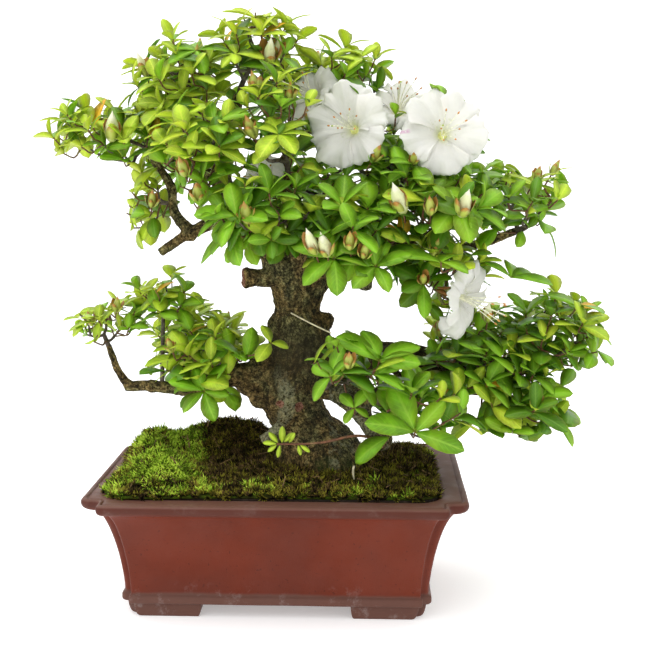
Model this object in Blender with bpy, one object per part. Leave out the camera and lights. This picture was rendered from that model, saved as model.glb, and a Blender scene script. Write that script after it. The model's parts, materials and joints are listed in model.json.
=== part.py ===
"""Satsuki azalea bonsai with white flowers in an unglazed clay pot, for Blender 4.5.

Run with: blender --background --python part.py
Blender units are metres. The sizes below are real millimetres in the frame of the pot:
x runs along the pot, y runs to its back and z is the height over the table.
"""

import math
import random
from collections import namedtuple

import bmesh
import bpy
from mathutils import Matrix, Vector
from mathutils.bvhtree import BVHTree

MM = 0.001
GAP = 0.3
NEARLY_MEET = 0.002

# Pot: a rectangle whose corners step in, with a rolled lip, a coved wall, a base band and four feet.
POT_LENGTH = 270.0
POT_DEPTH = 187.0
POT_HEIGHT = 89.0
LIP_BOTTOM = 80.5
LIP_OVERHANG = 6.0
WALL_FOOT = 18.2
WALL_INSET = 26.5
COVE_POWER = 0.74
BAND_TOP = 16.5
BAND_INSET = 24.5
FEET_HEIGHT = 10.0
FEET_INSET = 27.5
FOOT_LENGTH = 55.0
FOOT_WIDTH = 34.0
FOOT_THICKNESS = 17.0
NOTCH_AT_LIP = 14.6
NOTCH_AT_BASE = 6.0
CAVITY_TOP = (115.0, 73.5)
CAVITY_FLOOR = (102.0, 60.0)
CAVITY_CORNER = 17.0
FLOOR_HEIGHT = 16.0
DRAIN_RADIUS = 9.0
DRAIN_OFFSET = 55.0
DRAIN_SIDES = 12
COVE_LEVELS = 6
CUTTER_MARGIN = 5.0
SOIL_CLEARANCE = 0.4

# Moss: a low cover with mounds along the back left and a cushion at the front left.
MOSS_BASE = POT_HEIGHT + GAP
MOSS_EDGE = 0.9
MOSS_FALLOFF = 15.0
MOSS_SPILL = 9.0
MOSS_CLEARANCE = 0.7
MOSS_ANGLES = 36
MOSS_LEVELS = 8
MOSS_MARGIN = 1.0
MOSS_STEP = 0.5
MOUNDS = (
    # centre x, centre y, height, spread in x, spread in y
    (-62.0, 42.0, 17.0, 28.0, 24.0),
    (-30.0, 44.0, 17.0, 26.0, 24.0),
    (-104.0, 34.0, 17.0, 20.0, 24.0),
    (-84.0, -42.0, 22.0, 24.0, 17.0),
    (20.0, 0.0, 7.0, 60.0, 60.0),
    (88.0, 20.0, 3.0, 30.0, 40.0),
)

# Trunk: height, centre x, centre y, half width in x and half depth in y of each section.
TRUNK_SECTIONS = (
    (POT_HEIGHT + GAP, 30.0, 0.0, 34.0, 32.0),
    (105.0, 29.5, 0.0, 32.0, 30.0),
    (114.0, 26.0, 0.0, 29.5, 28.0),
    (124.0, 19.5, 0.0, 26.3, 25.5),
    (136.0, 10.5, 0.0, 23.3, 23.5),
    (148.0, 8.0, 0.0, 22.5, 23.0),
    (160.0, 9.0, 0.0, 23.0, 23.0),
    (171.0, 12.0, 1.0, 24.5, 23.0),
    (181.0, 14.0, 1.0, 24.0, 22.0),
    (192.0, 14.0, 1.0, 23.5, 21.0),
    (203.0, 12.5, 1.0, 21.5, 19.0),
    (214.0, 12.0, 2.0, 16.3, 17.0),
    (230.0, 13.5, 2.0, 22.5, 20.0),
    (238.0, 14.5, 2.0, 27.0, 22.0),
    (245.0, 15.0, 2.0, 29.5, 23.0),
    (251.0, 14.0, 3.0, 27.0, 21.0),
)
TRUNK_SIDES = 16
ROOT_SPURS = (
    # heading in degrees, swell, half width in degrees
    (200.0, 0.16, 24.0),
    (150.0, 0.12, 22.0),
    (265.0, 0.10, 26.0),
    (325.0, 0.15, 24.0),
    (30.0, 0.13, 26.0),
    (90.0, 0.10, 30.0),
)
FLARE_TOP = 128.0
STUB = ((8.0, -6.0, 238.5), (-27.0, -12.0, 236.0))
STUB_RADII = (8.0, 6.4)
STUB_SIDES = 10
KNOB = ((25.0, -1.0, 198.0), (36.5, -1.0, 200.0))
KNOB_RADII = (7.5, 4.5)
KNOB_SIDES = 8

# Limbs: what each leaves, the points it bends through, and its radius at the root and at the tip.
Limb = namedtuple("Limb", "name parent points radii")
LIMBS = (
    Limb("bough_left_upper", "trunk",
         ((4, 0, 240), (-14, -3, 260), (-40, -8, 277), (-66, -8, 268), (-88, -6, 254)), (9.0, 3.6)),
    Limb("bough_left_riser", "bough_left_upper",
         ((-64, -8, 268), (-77, -4, 283), (-80, 0, 302), (-93, 4, 321)), (4.6, 3.0)),
    Limb("bough_leader", "trunk",
         ((8, 4, 240), (-8, 6, 268), (-38, 9, 292), (-42, 8, 325), (-30, 5, 368)), (10.0, 4.0)),
    Limb("bough_leader_right", "bough_leader",
         ((-35, 9, 290), (-12, 16, 307), (10, 17, 331), (28, 16, 352)), (5.5, 3.0)),
    Limb("bough_front", "trunk",
         ((14, -8, 242), (14, -24, 262), (8, -32, 286), (8, -38, 312)), (7.0, 3.2)),
    Limb("bough_right_upper", "trunk",
         ((22, 2, 240), (50, -3, 254), (88, -8, 260), (112, -10, 268), (132, -8, 284)), (10.0, 3.6)),
    Limb("bough_right_riser", "bough_right_upper",
         ((62, -4, 255), (70, 2, 278), (74, 4, 296), (78, 4, 312)), (5.0, 3.2)),
    Limb("bough_right_outer", "bough_right_upper",
         ((98, -8, 262), (126, -2, 258), (150, 4, 262), (172, 5, 270)), (4.6, 3.0)),
    Limb("bough_back_left", "trunk",
         ((6, 12, 240), (-14, 34, 268), (-44, 52, 292), (-64, 62, 312)), (8.0, 3.2)),
    Limb("bough_back_right", "trunk",
         ((22, 14, 240), (40, 36, 262), (64, 54, 282), (84, 62, 296)), (8.0, 3.2)),
    Limb("branch_left_low", "trunk",
         ((0, -2, 164), (-30, -4, 164), (-66, -8, 154), (-96, -6, 155), (-117, -4, 154)), (9.5, 3.8)),
    Limb("branch_left_low_riser", "branch_left_low",
         ((-113, -4, 154), (-122, -3, 166), (-127, 0, 178), (-130, 0, 186)), (3.6, 2.4)),
    Limb("branch_right_low", "trunk",
         ((22, 5, 172), (50, 8, 169), (80, 10, 175), (106, 8, 172), (126, 4, 164), (162, 0, 158)),
         (14.0, 3.6)),
    Limb("branch_right_front", "trunk",
         ((14, -6, 154), (42, -20, 153), (58, -30, 142), (70, -36, 126)), (8.0, 6.0)),
    Limb("branch_back_low", "trunk",
         ((16, 10, 176), (44, 34, 180), (84, 50, 176), (118, 56, 172)), (8.0, 3.2)),
)
LIMB_SIDES = 6
LIMB_STEP = 12.0
COLLAR_STEP = 5.0
STRAIGHT_END = 3.0
COLLAR_CLEARANCE = 1.2
PARENT_SHARE = 0.8
SPUR_RADIUS = 2.1

# Masses: centre and half sizes of each one's space, and the limb and the share along it that carries it.
Mass = namedtuple("Mass", "name centre radii limb share")
MASSES = (
    Mass("foliage_apex", (-14, 5, 403), (36, 40, 30), "bough_leader", 1.0),
    Mass("foliage_crown_left_top", (-73, 0, 378), (38, 45, 35), "bough_leader", 0.80),
    Mass("foliage_crown_left", (-128, -5, 339), (46, 42, 26), "bough_left_riser", 1.0),
    Mass("foliage_crown_front_left", (-50, -50, 327), (40, 38, 33), "bough_leader", 0.60),
    Mass("foliage_left_under", (-102, 0, 290), (23, 30, 28), "bough_left_riser", 0.45),
    Mass("foliage_crown_front_mid", (7, -48, 344), (36, 38, 36), "bough_front", 1.0),
    Mass("foliage_crown_top_right", (46, 15, 382), (35, 40, 27), "bough_leader_right", 1.0),
    Mass("foliage_crown_front_low", (-9, -62, 286), (42, 36, 30), "bough_front", 0.60),
    Mass("foliage_crown_mid_right", (52, -55, 272), (42, 38, 30), "bough_right_upper", 0.36),
    Mass("foliage_crown_right_front", (112, -46, 294), (40, 38, 30), "bough_right_upper", 0.80),
    Mass("foliage_flowers_left", (42, -30, 332), (38, 34, 34), "bough_right_riser", 0.78),
    Mass("foliage_flowers_right", (100, -20, 338), (44, 42, 38), "bough_right_riser", 1.0),
    Mass("foliage_crown_right_tip", (170, 5, 294), (45, 50, 30), "bough_right_outer", 1.0),
    Mass("foliage_crown_right_low", (118, -34, 242), (38, 38, 32), "bough_right_outer", 0.30),
    Mass("foliage_crown_back_top", (10, 68, 368), (46, 40, 34), "bough_leader_right", 0.62),
    Mass("foliage_crown_back_left", (-84, 72, 339), (47, 40, 36), "bough_back_left", 1.0),
    Mass("foliage_crown_back_right", (102, 74, 319), (48, 40, 36), "bough_back_right", 1.0),
    Mass("foliage_crown_back_low", (8, 80, 290), (46, 38, 32), "bough_back_right", 0.52),
    Mass("foliage_low_left_outer", (-131, 0, 201), (32, 35, 23), "branch_left_low_riser", 1.0),
    Mass("foliage_low_left_top", (-87, 0, 223), (30, 36, 20), "branch_left_low", 0.76),
    Mass("foliage_low_left_inner", (-50, -12, 176), (44, 44, 32), "branch_left_low", 0.44),
    Mass("foliage_low_left_back", (-76, 50, 182), (44, 36, 30), "branch_left_low", 0.62),
    Mass("foliage_low_right_front", (50, -70, 181), (37, 34, 28), "branch_right_front", 0.30),
    Mass("foliage_low_right_big", (100, -62, 147), (42, 38, 27), "branch_right_front", 0.90),
    Mass("foliage_low_right_mid", (146, -5, 178), (45, 45, 36), "branch_right_low", 0.72),
    Mass("foliage_low_right_outer", (204, 0, 197), (40, 50, 36), "branch_right_low", 1.0),
    Mass("foliage_low_right_low", (175, -18, 147), (44, 44, 31), "branch_right_low", 0.90),
    Mass("foliage_low_right_back", (150, 62, 176), (48, 40, 34), "branch_back_low", 1.0),
)
SPACE_MARGIN = 0.5
LIMB_MARGIN = 1.0

# Twigs and leaves, all larger than life, so that a few of them fill the crown.
STEM_RADIUS = 1.8
STEM_SIDES = 5
STEM_SWELL = 2.7
STEM_STRAIGHT = 5.0
STEM_SHORTEST = 4.0
HUB_DEPTH = 9.0
HUB_DEPTH_SHARE = 0.3
HUB_LONGEST_WAY = 0.8
HUB_STEP = 0.05
TWIG_SIDES = 3
TWIG_SHORTEST = 4.0
TWIG_CHOICES = 4
TWIG_STRAIGHTNESS = (0.5, 2.0)
TWIG_LIFT = 0.55
TWIG_RADIUS = 1.6
TWIG_ROOT = 1.0
LEAF_LENGTH = 44.0
LEAF_WIDTH = 0.70
LEAF_THICKNESS = 1.1
LEAF_SHORTEST = 13.0
LEAF_SINK = 0.1
LEAF_START = 3.0
LEAF_STEP = 4.0
LEAF_BELLY = 0.58
LEAF_RIDGE = 0.45
LEAF_TILT = 0.5
LEAF_LIFT = 0.7
LEAVES_PER_TIP = 6
LOWER_SPREAD = (62.0, 85.0)
UPPER_SPREAD = (30.0, 52.0)
SHOOT_LENGTH = 15.0
SHOOT_SHARE = 0.6
STEEPEST_BEND = math.radians(70.0)
TIP_SPACING = 38.0
TIP_CROWDING = 0.455
TIP_DEPTH = 13.0
TIP_MARGIN = 5.0
TIP_TRIES = 400
TIP_LOWEST = -0.75
TIP_INNERMOST = 0.55
CROWN_MIDDLE = Vector((20.0, 5.0, 270.0))
BUD_LENGTH = 19.0
BUD_WIDTH = 0.42
BUD_SHARE = 0.16
SPUR_LENGTH = 3.5
SPUR_START = 0.5
SPUR_SIDES = 6

# Flowers: the mass each belongs to, the middle of its mouth, the way it faces and its width.
Flower = namedtuple("Flower", "mass centre facing width")
FLOWERS = (
    Flower("foliage_flowers_right", (115, -48, 341), (0.02, -1.0, 0.25), 64.0),
    Flower("foliage_flowers_left", (50, -34, 345), (-0.55, -1.0, 0.30), 58.0),
    Flower("foliage_flowers_right", (86, 2, 362), (0.10, -0.75, 0.80), 50.0),
    Flower("foliage_crown_top_right", (21, 0, 369), (-0.70, -0.60, 0.40), 46.0),
    Flower("foliage_crown_right_low", (132, -48, 226), (0.75, -0.45, -0.45), 56.0),
)
FLOWER_DEPTH = 24.0
FLOWER_WALL = 1.6
FLOWER_NECK = 3.2
FLOWER_LOBES = 5
FLOWER_NOTCH = 0.2
FLOWER_EDGE = 1.2
FLOWER_LEVELS = (
    # distance behind the mouth, share of the full width, share of the notches between the lobes
    (FLOWER_DEPTH, 0.0, 0.0),
    (FLOWER_DEPTH * 0.55, 0.26, 0.0),
    (FLOWER_DEPTH * 0.18, 0.62, 0.4),
    (0.0, 1.0, 1.0),
)

# Colours are linear red, green and blue.
POT_COLOUR = (0.168, 0.047, 0.030, 1.0)
SOIL_COLOUR = (0.030, 0.019, 0.010, 1.0)
MOSS_COLOUR = (0.105, 0.150, 0.016, 1.0)
BARK_COLOUR = (0.130, 0.100, 0.070, 1.0)
LEAF_COLOUR = (0.140, 0.310, 0.018, 1.0)

COLLECTION_NAME = "satsuki_azalea_bonsai"


def to_metres(values):
    """Turn a point in millimetres into a vector in metres."""
    return Vector(values) * MM


def clear_scene():
    """Remove whatever the opened scene holds."""
    for item in list(bpy.data.objects):
        bpy.data.objects.remove(item, do_unlink=True)


def make_collection(name):
    """Add a collection to the scene."""
    collection = bpy.data.collections.new(name)
    bpy.context.scene.collection.children.link(collection)
    return collection


def make_material(name, colour, roughness, metallic=0.0):
    """Make a plain material with one colour."""
    material = bpy.data.materials.new(name)
    material.use_nodes = True
    shader = material.node_tree.nodes["Principled BSDF"]
    shader.inputs["Base Color"].default_value = colour
    shader.inputs["Roughness"].default_value = roughness
    shader.inputs["Metallic"].default_value = metallic
    material.diffuse_color = colour
    return material


def add_object(name, shape, collection, material=None):
    """Make an object from vertices in millimetres and faces, with its faces turned outwards."""
    vertices, faces = shape
    bm = bmesh.new()
    made = [bm.verts.new(to_metres(vertex)) for vertex in vertices]
    for face in faces:
        bm.faces.new([made[index] for index in face])
    bmesh.ops.recalc_face_normals(bm, faces=bm.faces)
    mesh = bpy.data.meshes.new(name)
    bm.to_mesh(mesh)
    bm.free()
    made_object = bpy.data.objects.new(name, mesh)
    collection.objects.link(made_object)
    if material:
        mesh.materials.append(material)
    return made_object


def loft(rings):
    """Join rings of equally many points into one closed shape with flat ends."""
    count = len(rings[0])
    vertices = [point for ring in rings for point in ring]
    faces = [list(range(count))]
    faces.append([(len(rings) - 1) * count + index for index in range(count)])
    for level in range(len(rings) - 1):
        low = level * count
        for index in range(count):
            after = (index + 1) % count
            faces.append((low + index, low + after, low + count + after, low + count + index))
    return vertices, faces


def smooth_path(points, step):
    """Read a smooth curve through the points, about one step apart."""
    anchors = [Vector(point) for point in points]
    padded = [anchors[0] * 2.0 - anchors[1]] + anchors + [anchors[-1] * 2.0 - anchors[-2]]
    path = []
    for index in range(1, len(padded) - 2):
        before, start, end, after = padded[index - 1:index + 3]
        pieces = max(1, round((end - start).length / step))
        for piece in range(pieces):
            t = piece / pieces
            path.append(0.5 * (2.0 * start + (end - before) * t
                               + (2.0 * before - 5.0 * start + 4.0 * end - after) * t ** 2
                               + (3.0 * start - before - 3.0 * end + after) * t ** 3))
    path.append(anchors[-1])
    return path


def headings_along(path):
    """Give the direction of a path at each of its points."""
    last = len(path) - 1
    return [(path[min(i + 1, last)] - path[max(i - 1, 0)]).normalized() for i in range(last + 1)]


def tube_rings(path, radii, sides, roll=0.0):
    """Set one ring square to the path at each of its points, without twist from ring to ring."""
    headings = headings_along(path)
    side = headings[0].orthogonal().normalized()
    rings = []
    for point, heading, radius in zip(path, headings, radii):
        side = (side - heading * side.dot(heading)).normalized()
        other = heading.cross(side)
        ring = []
        for index in range(sides):
            angle = roll + 2.0 * math.pi * index / sides
            ring.append(point + side * (radius * math.cos(angle)) + other * (radius * math.sin(angle)))
        rings.append(ring)
    return rings


def straight_tube(start, end, start_radius, end_radius, sides):
    """Make a straight tube with flat ends."""
    return loft(tube_rings([Vector(start), Vector(end)], [start_radius, end_radius], sides))


def shape_tree(shape):
    """Make a search tree of a shape's faces."""
    vertices, faces = shape
    return BVHTree.FromPolygons([Vector(vertex) for vertex in vertices], faces)


def object_shape(item):
    """Read an object's mesh back as vertices in millimetres and faces."""
    vertices = [vertex.co / MM for vertex in item.data.vertices]
    return vertices, [tuple(polygon.vertices) for polygon in item.data.polygons]


def join_shapes(shapes):
    """List several shapes as one."""
    vertices = []
    faces = []
    for some_vertices, some_faces in shapes:
        offset = len(vertices)
        vertices.extend(some_vertices)
        faces.extend(tuple(index + offset for index in face) for face in some_faces)
    return vertices, faces


def largest_body(item):
    """Keep the largest body of a mesh, and nothing that it closes in."""
    bm = bmesh.new()
    bm.from_mesh(item.data)
    left = set(bm.faces)
    bodies = []
    while left:
        front = [left.pop()]
        body = list(front)
        while front:
            for edge in front.pop().edges:
                for face in edge.link_faces:
                    if face in left:
                        left.discard(face)
                        body.append(face)
                        front.append(face)
        bodies.append(body)
    bodies.sort(key=len)
    scraps = [face for body in bodies[:-1] for face in body]
    bmesh.ops.delete(bm, geom=scraps, context="FACES")
    bm.to_mesh(item.data)
    bm.free()


def is_closed(mesh):
    """Say whether a mesh is closed, with no pinch in it, once points that nearly meet are joined."""
    bm = bmesh.new()
    bm.from_mesh(mesh)
    bmesh.ops.remove_doubles(bm, verts=bm.verts, dist=NEARLY_MEET * MM)
    closed = bool(bm.edges) and all(part.is_manifold for part in list(bm.edges) + list(bm.verts))
    bm.free()
    return closed


def cut_to_triangles(mesh, method):
    """Part a mesh's faces into triangles."""
    bm = bmesh.new()
    bm.from_mesh(mesh)
    bmesh.ops.triangulate(bm, faces=bm.faces, ngon_method=method)
    bm.to_mesh(mesh)
    bm.free()


def boolean_result(item, operation, operands):
    """Work out a Boolean of an object with a collection, and give the first closed mesh of its solvers."""
    modifier = item.modifiers.new("join", "BOOLEAN")
    modifier.operation = operation
    modifier.operand_type = "COLLECTION"
    modifier.collection = operands
    found = None
    for solver in ("EXACT", "MANIFOLD"):
        modifier.solver = solver
        for method in ("BEAUTY", "EAR_CLIP"):
            graph = bpy.context.evaluated_depsgraph_get()
            graph.update()
            mesh = bpy.data.meshes.new_from_object(item.evaluated_get(graph))
            cut_to_triangles(mesh, method)
            if found is None and is_closed(mesh):
                found = mesh
    item.modifiers.remove(modifier)
    return found


def combine(item, shapes, operation="UNION"):
    """Fuse shapes to an object, or cut them from it, leaving out one that would pinch the result."""
    if not shapes:
        return
    operands = make_collection(item.name + "_operands")
    for shape in shapes:
        add_object("operand", shape, operands)
    mesh = boolean_result(item, operation, operands)
    for operand in list(operands.objects):
        bpy.data.objects.remove(operand, do_unlink=True)
    bpy.data.collections.remove(operands)
    if mesh:
        mesh.name = item.name
        item.data = mesh
        largest_body(item)
    elif len(shapes) > 1:
        middle = len(shapes) // 2
        combine(item, shapes[:middle], operation)
        combine(item, shapes[middle:], operation)


# Pot and soil.

def corner_arc(centre, radius, start, end, pieces):
    """Give the points of an arc between two angles in degrees."""
    points = []
    for index in range(pieces + 1):
        angle = math.radians(start + (end - start) * index / pieces)
        points.append((centre[0] + radius * math.cos(angle), centre[1] + radius * math.sin(angle)))
    return points


def stepped_corner(half_length, half_depth, notch):
    """Give the outline's corner at +x and -y: a step between the front face and the end face."""
    front = notch * 0.2
    inner = notch * 0.3
    end = notch * 0.55
    points = corner_arc((half_length - notch - front, -half_depth + front), front, 270, 360, 1)
    points += corner_arc((half_length - notch + inner, -half_depth + notch - inner), inner, 180, 90, 1)
    points += corner_arc((half_length - end, -half_depth + notch + end), end, 270, 360, 2)
    return points


def around_four_corners(corner):
    """Mirror the corner at +x and -y to all four corners, in order around the outline."""
    outline = list(corner)
    outline += [(x, -y) for x, y in reversed(corner)]
    outline += [(-x, -y) for x, y in corner]
    outline += [(-x, y) for x, y in reversed(corner)]
    return outline


def pot_outline(inset, height):
    """Give the pot's outline at one height, set in by an amount."""
    share = 1.0 - inset / WALL_INSET
    notch = NOTCH_AT_BASE + (NOTCH_AT_LIP - NOTCH_AT_BASE) * share
    corner = stepped_corner(POT_LENGTH / 2 - inset, POT_DEPTH / 2 - inset, notch)
    return [Vector((x, y, height)) for x, y in around_four_corners(corner)]


def pot_profile():
    """Give the inset and the height of each level of the pot's outer wall, from the bottom up."""
    levels = [(FEET_INSET, 0.6), (FEET_INSET, FEET_HEIGHT)]
    levels += [(BAND_INSET, FEET_HEIGHT + 1.5), (BAND_INSET, BAND_TOP - 1.0), (BAND_INSET + 1.0, BAND_TOP)]
    for index in range(COVE_LEVELS + 1):
        t = math.sin(0.5 * math.pi * index / COVE_LEVELS)
        rise = (1.0 - math.sqrt(max(0.0, 1.0 - t * t))) ** COVE_POWER
        inset = WALL_INSET - (WALL_INSET - LIP_OVERHANG) * rise
        levels.append((inset, WALL_FOOT + (LIP_BOTTOM - WALL_FOOT) * t))
    levels += [(1.5, LIP_BOTTOM + 2.5), (0.0, LIP_BOTTOM + 5.0), (0.0, POT_HEIGHT - 3.0)]
    levels += [(0.6, POT_HEIGHT - 1.0), (2.2, POT_HEIGHT)]
    return levels


def cavity_ring(height, shrink=0.0):
    """Give the rounded outline of the pot's inside at one height."""
    share = (height - FLOOR_HEIGHT) / (POT_HEIGHT - FLOOR_HEIGHT)
    half_length, half_depth = [low + (top - low) * share - shrink
                               for low, top in zip(CAVITY_FLOOR, CAVITY_TOP)]
    radius = CAVITY_CORNER - shrink
    corner = corner_arc((half_length - radius, radius - half_depth), radius, 270, 360, 4)
    return [Vector((x, y, height)) for x, y in around_four_corners(corner)]


def box_shape(low, high):
    """Make a box between two corners."""
    x0, y0, z0 = low
    x1, y1, z1 = high
    rings = [[(x0, y0, z), (x1, y0, z), (x1, y1, z), (x0, y1, z)] for z in (z0, z1)]
    return loft(rings)


def feet_cutters():
    """Make the boxes that part the foot ring into four corner feet, each bent round its corner."""
    half_length = POT_LENGTH / 2 - FEET_INSET
    half_depth = POT_DEPTH / 2 - FEET_INSET
    across = half_length - FOOT_LENGTH
    along = half_depth - FOOT_WIDTH
    inner = (half_length - FOOT_THICKNESS, half_depth - FOOT_THICKNESS)
    return [
        box_shape((-across, -half_depth - CUTTER_MARGIN, -CUTTER_MARGIN),
                  (across, half_depth + CUTTER_MARGIN, FEET_HEIGHT)),
        box_shape((-half_length - CUTTER_MARGIN, -along, -CUTTER_MARGIN),
                  (half_length + CUTTER_MARGIN, along, FEET_HEIGHT)),
        box_shape((-inner[0], -inner[1], -CUTTER_MARGIN), (inner[0], inner[1], FEET_HEIGHT)),
    ]


def make_pot(collection, material):
    """Make the pot: outer shell, inside, feet and two drain holes."""
    levels = [(FEET_INSET + 0.6, 0.0)] + pot_profile()
    pot = add_object("pot", loft([pot_outline(inset, height) for inset, height in levels]),
                     collection, material)
    inside = loft([cavity_ring(FLOOR_HEIGHT), cavity_ring(POT_HEIGHT + 1.0)])
    drains = [straight_tube((x, 0.0, FEET_HEIGHT - CUTTER_MARGIN), (x, 0.0, FLOOR_HEIGHT + CUTTER_MARGIN),
                            DRAIN_RADIUS, DRAIN_RADIUS, DRAIN_SIDES) for x in (-DRAIN_OFFSET, DRAIN_OFFSET)]
    combine(pot, feet_cutters() + [inside] + drains, "DIFFERENCE")
    return pot


def make_soil(collection, material):
    """Fill the pot with soil, level with the rim and a hair clear of the wall."""
    rings = [cavity_ring(FLOOR_HEIGHT + GAP, SOIL_CLEARANCE), cavity_ring(POT_HEIGHT, SOIL_CLEARANCE)]
    return add_object("soil", loft(rings), collection, material)


# Trunk.

def foot_swell(angle, height):
    """Give how much the root spurs widen the trunk at one heading and height."""
    fade = max(0.0, (FLARE_TOP - height) / (FLARE_TOP - POT_HEIGHT)) ** 1.4
    swell = 0.0
    for heading, amount, spread in ROOT_SPURS:
        turn = math.degrees(angle) - heading
        turn = (turn + 180.0) % 360.0 - 180.0
        swell += amount * math.exp(-(turn / spread) ** 2)
    return fade * swell


def bark_swell(angle, height):
    """Give the slow bulges of old wood around the trunk."""
    swell = 0.030 * math.sin(3.0 * angle + 0.055 * height)
    swell += 0.022 * math.sin(5.0 * angle - 0.110 * height + 1.0)
    return swell


def trunk_point(section, angle, clearance=0.0):
    """Give the point at one angle of a section of the trunk."""
    height, centre_x, centre_y, half_width, half_depth = section
    scale = 1.0 + foot_swell(angle, height) + bark_swell(angle, height)
    return Vector((centre_x + (half_width * scale + clearance) * math.cos(angle),
                   centre_y + (half_depth * scale + clearance) * math.sin(angle), height))


def trunk_ring(section):
    """Give the points around one section of the trunk."""
    return [trunk_point(section, 2.0 * math.pi * index / TRUNK_SIDES) for index in range(TRUNK_SIDES)]


def trunk_shapes():
    """Give the trunk's own shape and the stub and knob that are fused to it."""
    stub = straight_tube(*STUB, *STUB_RADII, STUB_SIDES)
    knob = straight_tube(*KNOB, *KNOB_RADII, KNOB_SIDES)
    return loft([trunk_ring(section) for section in TRUNK_SECTIONS]), [stub, knob]


# Moss.

def inside_distance(x, y):
    """Give how far a point lies inside the edge of the soil."""
    half_length, half_depth = CAVITY_TOP
    across = abs(x) - (half_length - CAVITY_CORNER)
    along = abs(y) - (half_depth - CAVITY_CORNER)
    outside = math.hypot(max(across, 0.0), max(along, 0.0))
    return CAVITY_CORNER - outside - min(max(across, along), 0.0)


def moss_spill(x, y):
    """Give how far the moss creeps over the rim at the left."""
    front = math.exp(-((x + 105.0) / 42.0) ** 2 - ((y + 50.0) / 34.0) ** 2)
    return MOSS_SPILL * (front + math.exp(-((x + 115.0) / 30.0) ** 2 - ((y - 30.0) / 30.0) ** 2))


def moss_height(x, y):
    """Give the moss's thickness at one place."""
    depth = inside_distance(x, y) + moss_spill(x, y)
    rise = min(1.0, max(0.0, depth / MOSS_FALLOFF))
    rise = rise * (2.0 - rise)
    top = sum(height * math.exp(-((x - mx) / sx) ** 2 - ((y - my) / sy) ** 2)
              for mx, my, height, sx, sy in MOUNDS)
    lumps = 0.8 * math.sin(0.21 * x + 1.0) * math.sin(0.24 * y)
    return MOSS_EDGE + rise * (1.5 + top + lumps)


def make_moss(collection, material):
    """Spread the moss between the trunk's foot and the edge of the pot's inside."""
    foot_centre = Vector(TRUNK_SECTIONS[0][1:3])
    tops = [[] for _ in range(MOSS_LEVELS)]
    floors = [[], []]
    for index in range(MOSS_ANGLES):
        angle = 2.0 * math.pi * index / MOSS_ANGLES
        heading = Vector((math.cos(angle), math.sin(angle)))
        inner = max((trunk_point(section, angle, MOSS_CLEARANCE).to_2d() for section in TRUNK_SECTIONS[:2]),
                    key=lambda point: (point - foot_centre).length)
        outer = foot_centre + heading * (inner - foot_centre).length
        while inside_distance(*outer) + moss_spill(*outer) > MOSS_MARGIN:
            outer += heading * MOSS_STEP
        for level in range(MOSS_LEVELS):
            spot = inner.lerp(outer, math.sin(0.5 * math.pi * level / (MOSS_LEVELS - 1)))
            tops[level].append(Vector((spot.x, spot.y, MOSS_BASE + moss_height(spot.x, spot.y))))
        floors[0].append(Vector((inner.x, inner.y, MOSS_BASE)))
        floors[1].append(Vector((outer.x, outer.y, MOSS_BASE)))
    rings = [floors[0]] + tops + [floors[1]]
    vertices, faces = loft(rings)
    faces = faces[2:]
    last = (len(rings) - 1) * MOSS_ANGLES
    faces += [(index, (index + 1) % MOSS_ANGLES, last + (index + 1) % MOSS_ANGLES, last + index)
              for index in range(MOSS_ANGLES)]
    return add_object("moss", (vertices, faces), collection, material)


# Limbs.

def limb_radius(share, radii, name_seed):
    """Give a limb's radius at a share of its length: a taper with the swellings of old wood."""
    root, tip = radii
    taper = tip + (root - tip) * (1.0 - share) ** 1.2
    return taper * (1.0 + 0.07 * math.sin(9.0 * share + name_seed) * (1.0 - share))


def clearance_to_trunk(point, trunk):
    """Give how far a point lies outside the trunk, or less than nothing inside it."""
    nearest, normal, _, distance = trunk.find_nearest(point)
    return math.copysign(distance, (point - nearest).dot(normal))


def clearance_to_run(point, run):
    """Give how far a point lies outside the tube along a run."""
    return min((point - spot).length - radius for spot, radius in zip(*run))


def clear_index(path, radii, trunk, parent, siblings):
    """Find the first point of a path where a ring is clear of what it leaves and of its siblings."""
    for index, point in enumerate(path):
        room = clearance_to_run(point, parent) if parent else clearance_to_trunk(point, trunk)
        clear = room > radii[index] * PARENT_SHARE + COLLAR_CLEARANCE
        apart = radii[index] + COLLAR_CLEARANCE
        if clear and all(clearance_to_run(point, run) > apart for run in siblings):
            return index
    raise ValueError(f"a limb never leaves its parent: {path[-1]}")


def limb_run(limb, seed):
    """Give a limb's whole path in short steps and its radius at each point."""
    path = smooth_path(limb.points, 1.0)
    last = len(path) - 1
    radii = [limb_radius(index / last, limb.radii, seed) for index in range(last + 1)]
    return path, radii


def thin_out(path, radii, step):
    """Keep every point that lies one step on, and both ends."""
    count = max(2, round(len(path) / step))
    picks = [round(index * (len(path) - 1) / count) for index in range(count + 1)]
    return [path[index] for index in picks], [radii[index] for index in picks]


def split_run(path, radii, index):
    """Part a run into the collar that stays on the parent and the piece beyond the gap."""
    heading = (path[index + 1] - path[index - 1]).normalized()
    collar_path = path[:index - 2] + [path[index] - heading * STRAIGHT_END, path[index] - heading,
                                      path[index]]
    collar_radii = radii[:index - 2] + [radii[index]] * 3
    start = path[index] + heading * GAP
    rest_path = [start, start + heading, start + heading * STRAIGHT_END] + path[index + 5:]
    rest_radii = [radii[index]] * 3 + radii[index + 5:]
    return (collar_path, collar_radii), (rest_path, rest_radii)


def ends_kept(path, radii, step, sides):
    """Make a tube whose first and last short stretches are straight."""
    middle, middle_radii = thin_out(path[2:-2], radii[2:-2], step)
    points = [path[0]] + middle + [path[-1]]
    sizes = [radii[0]] + middle_radii + [radii[-1]]
    return loft(tube_rings(points, sizes, sides))


class Tree:
    """Holds the limbs' runs, the tube of each, and the shapes that are fused to each."""

    def __init__(self):
        self.runs = {}
        self.extras = {}
        self.solids = {}


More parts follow.
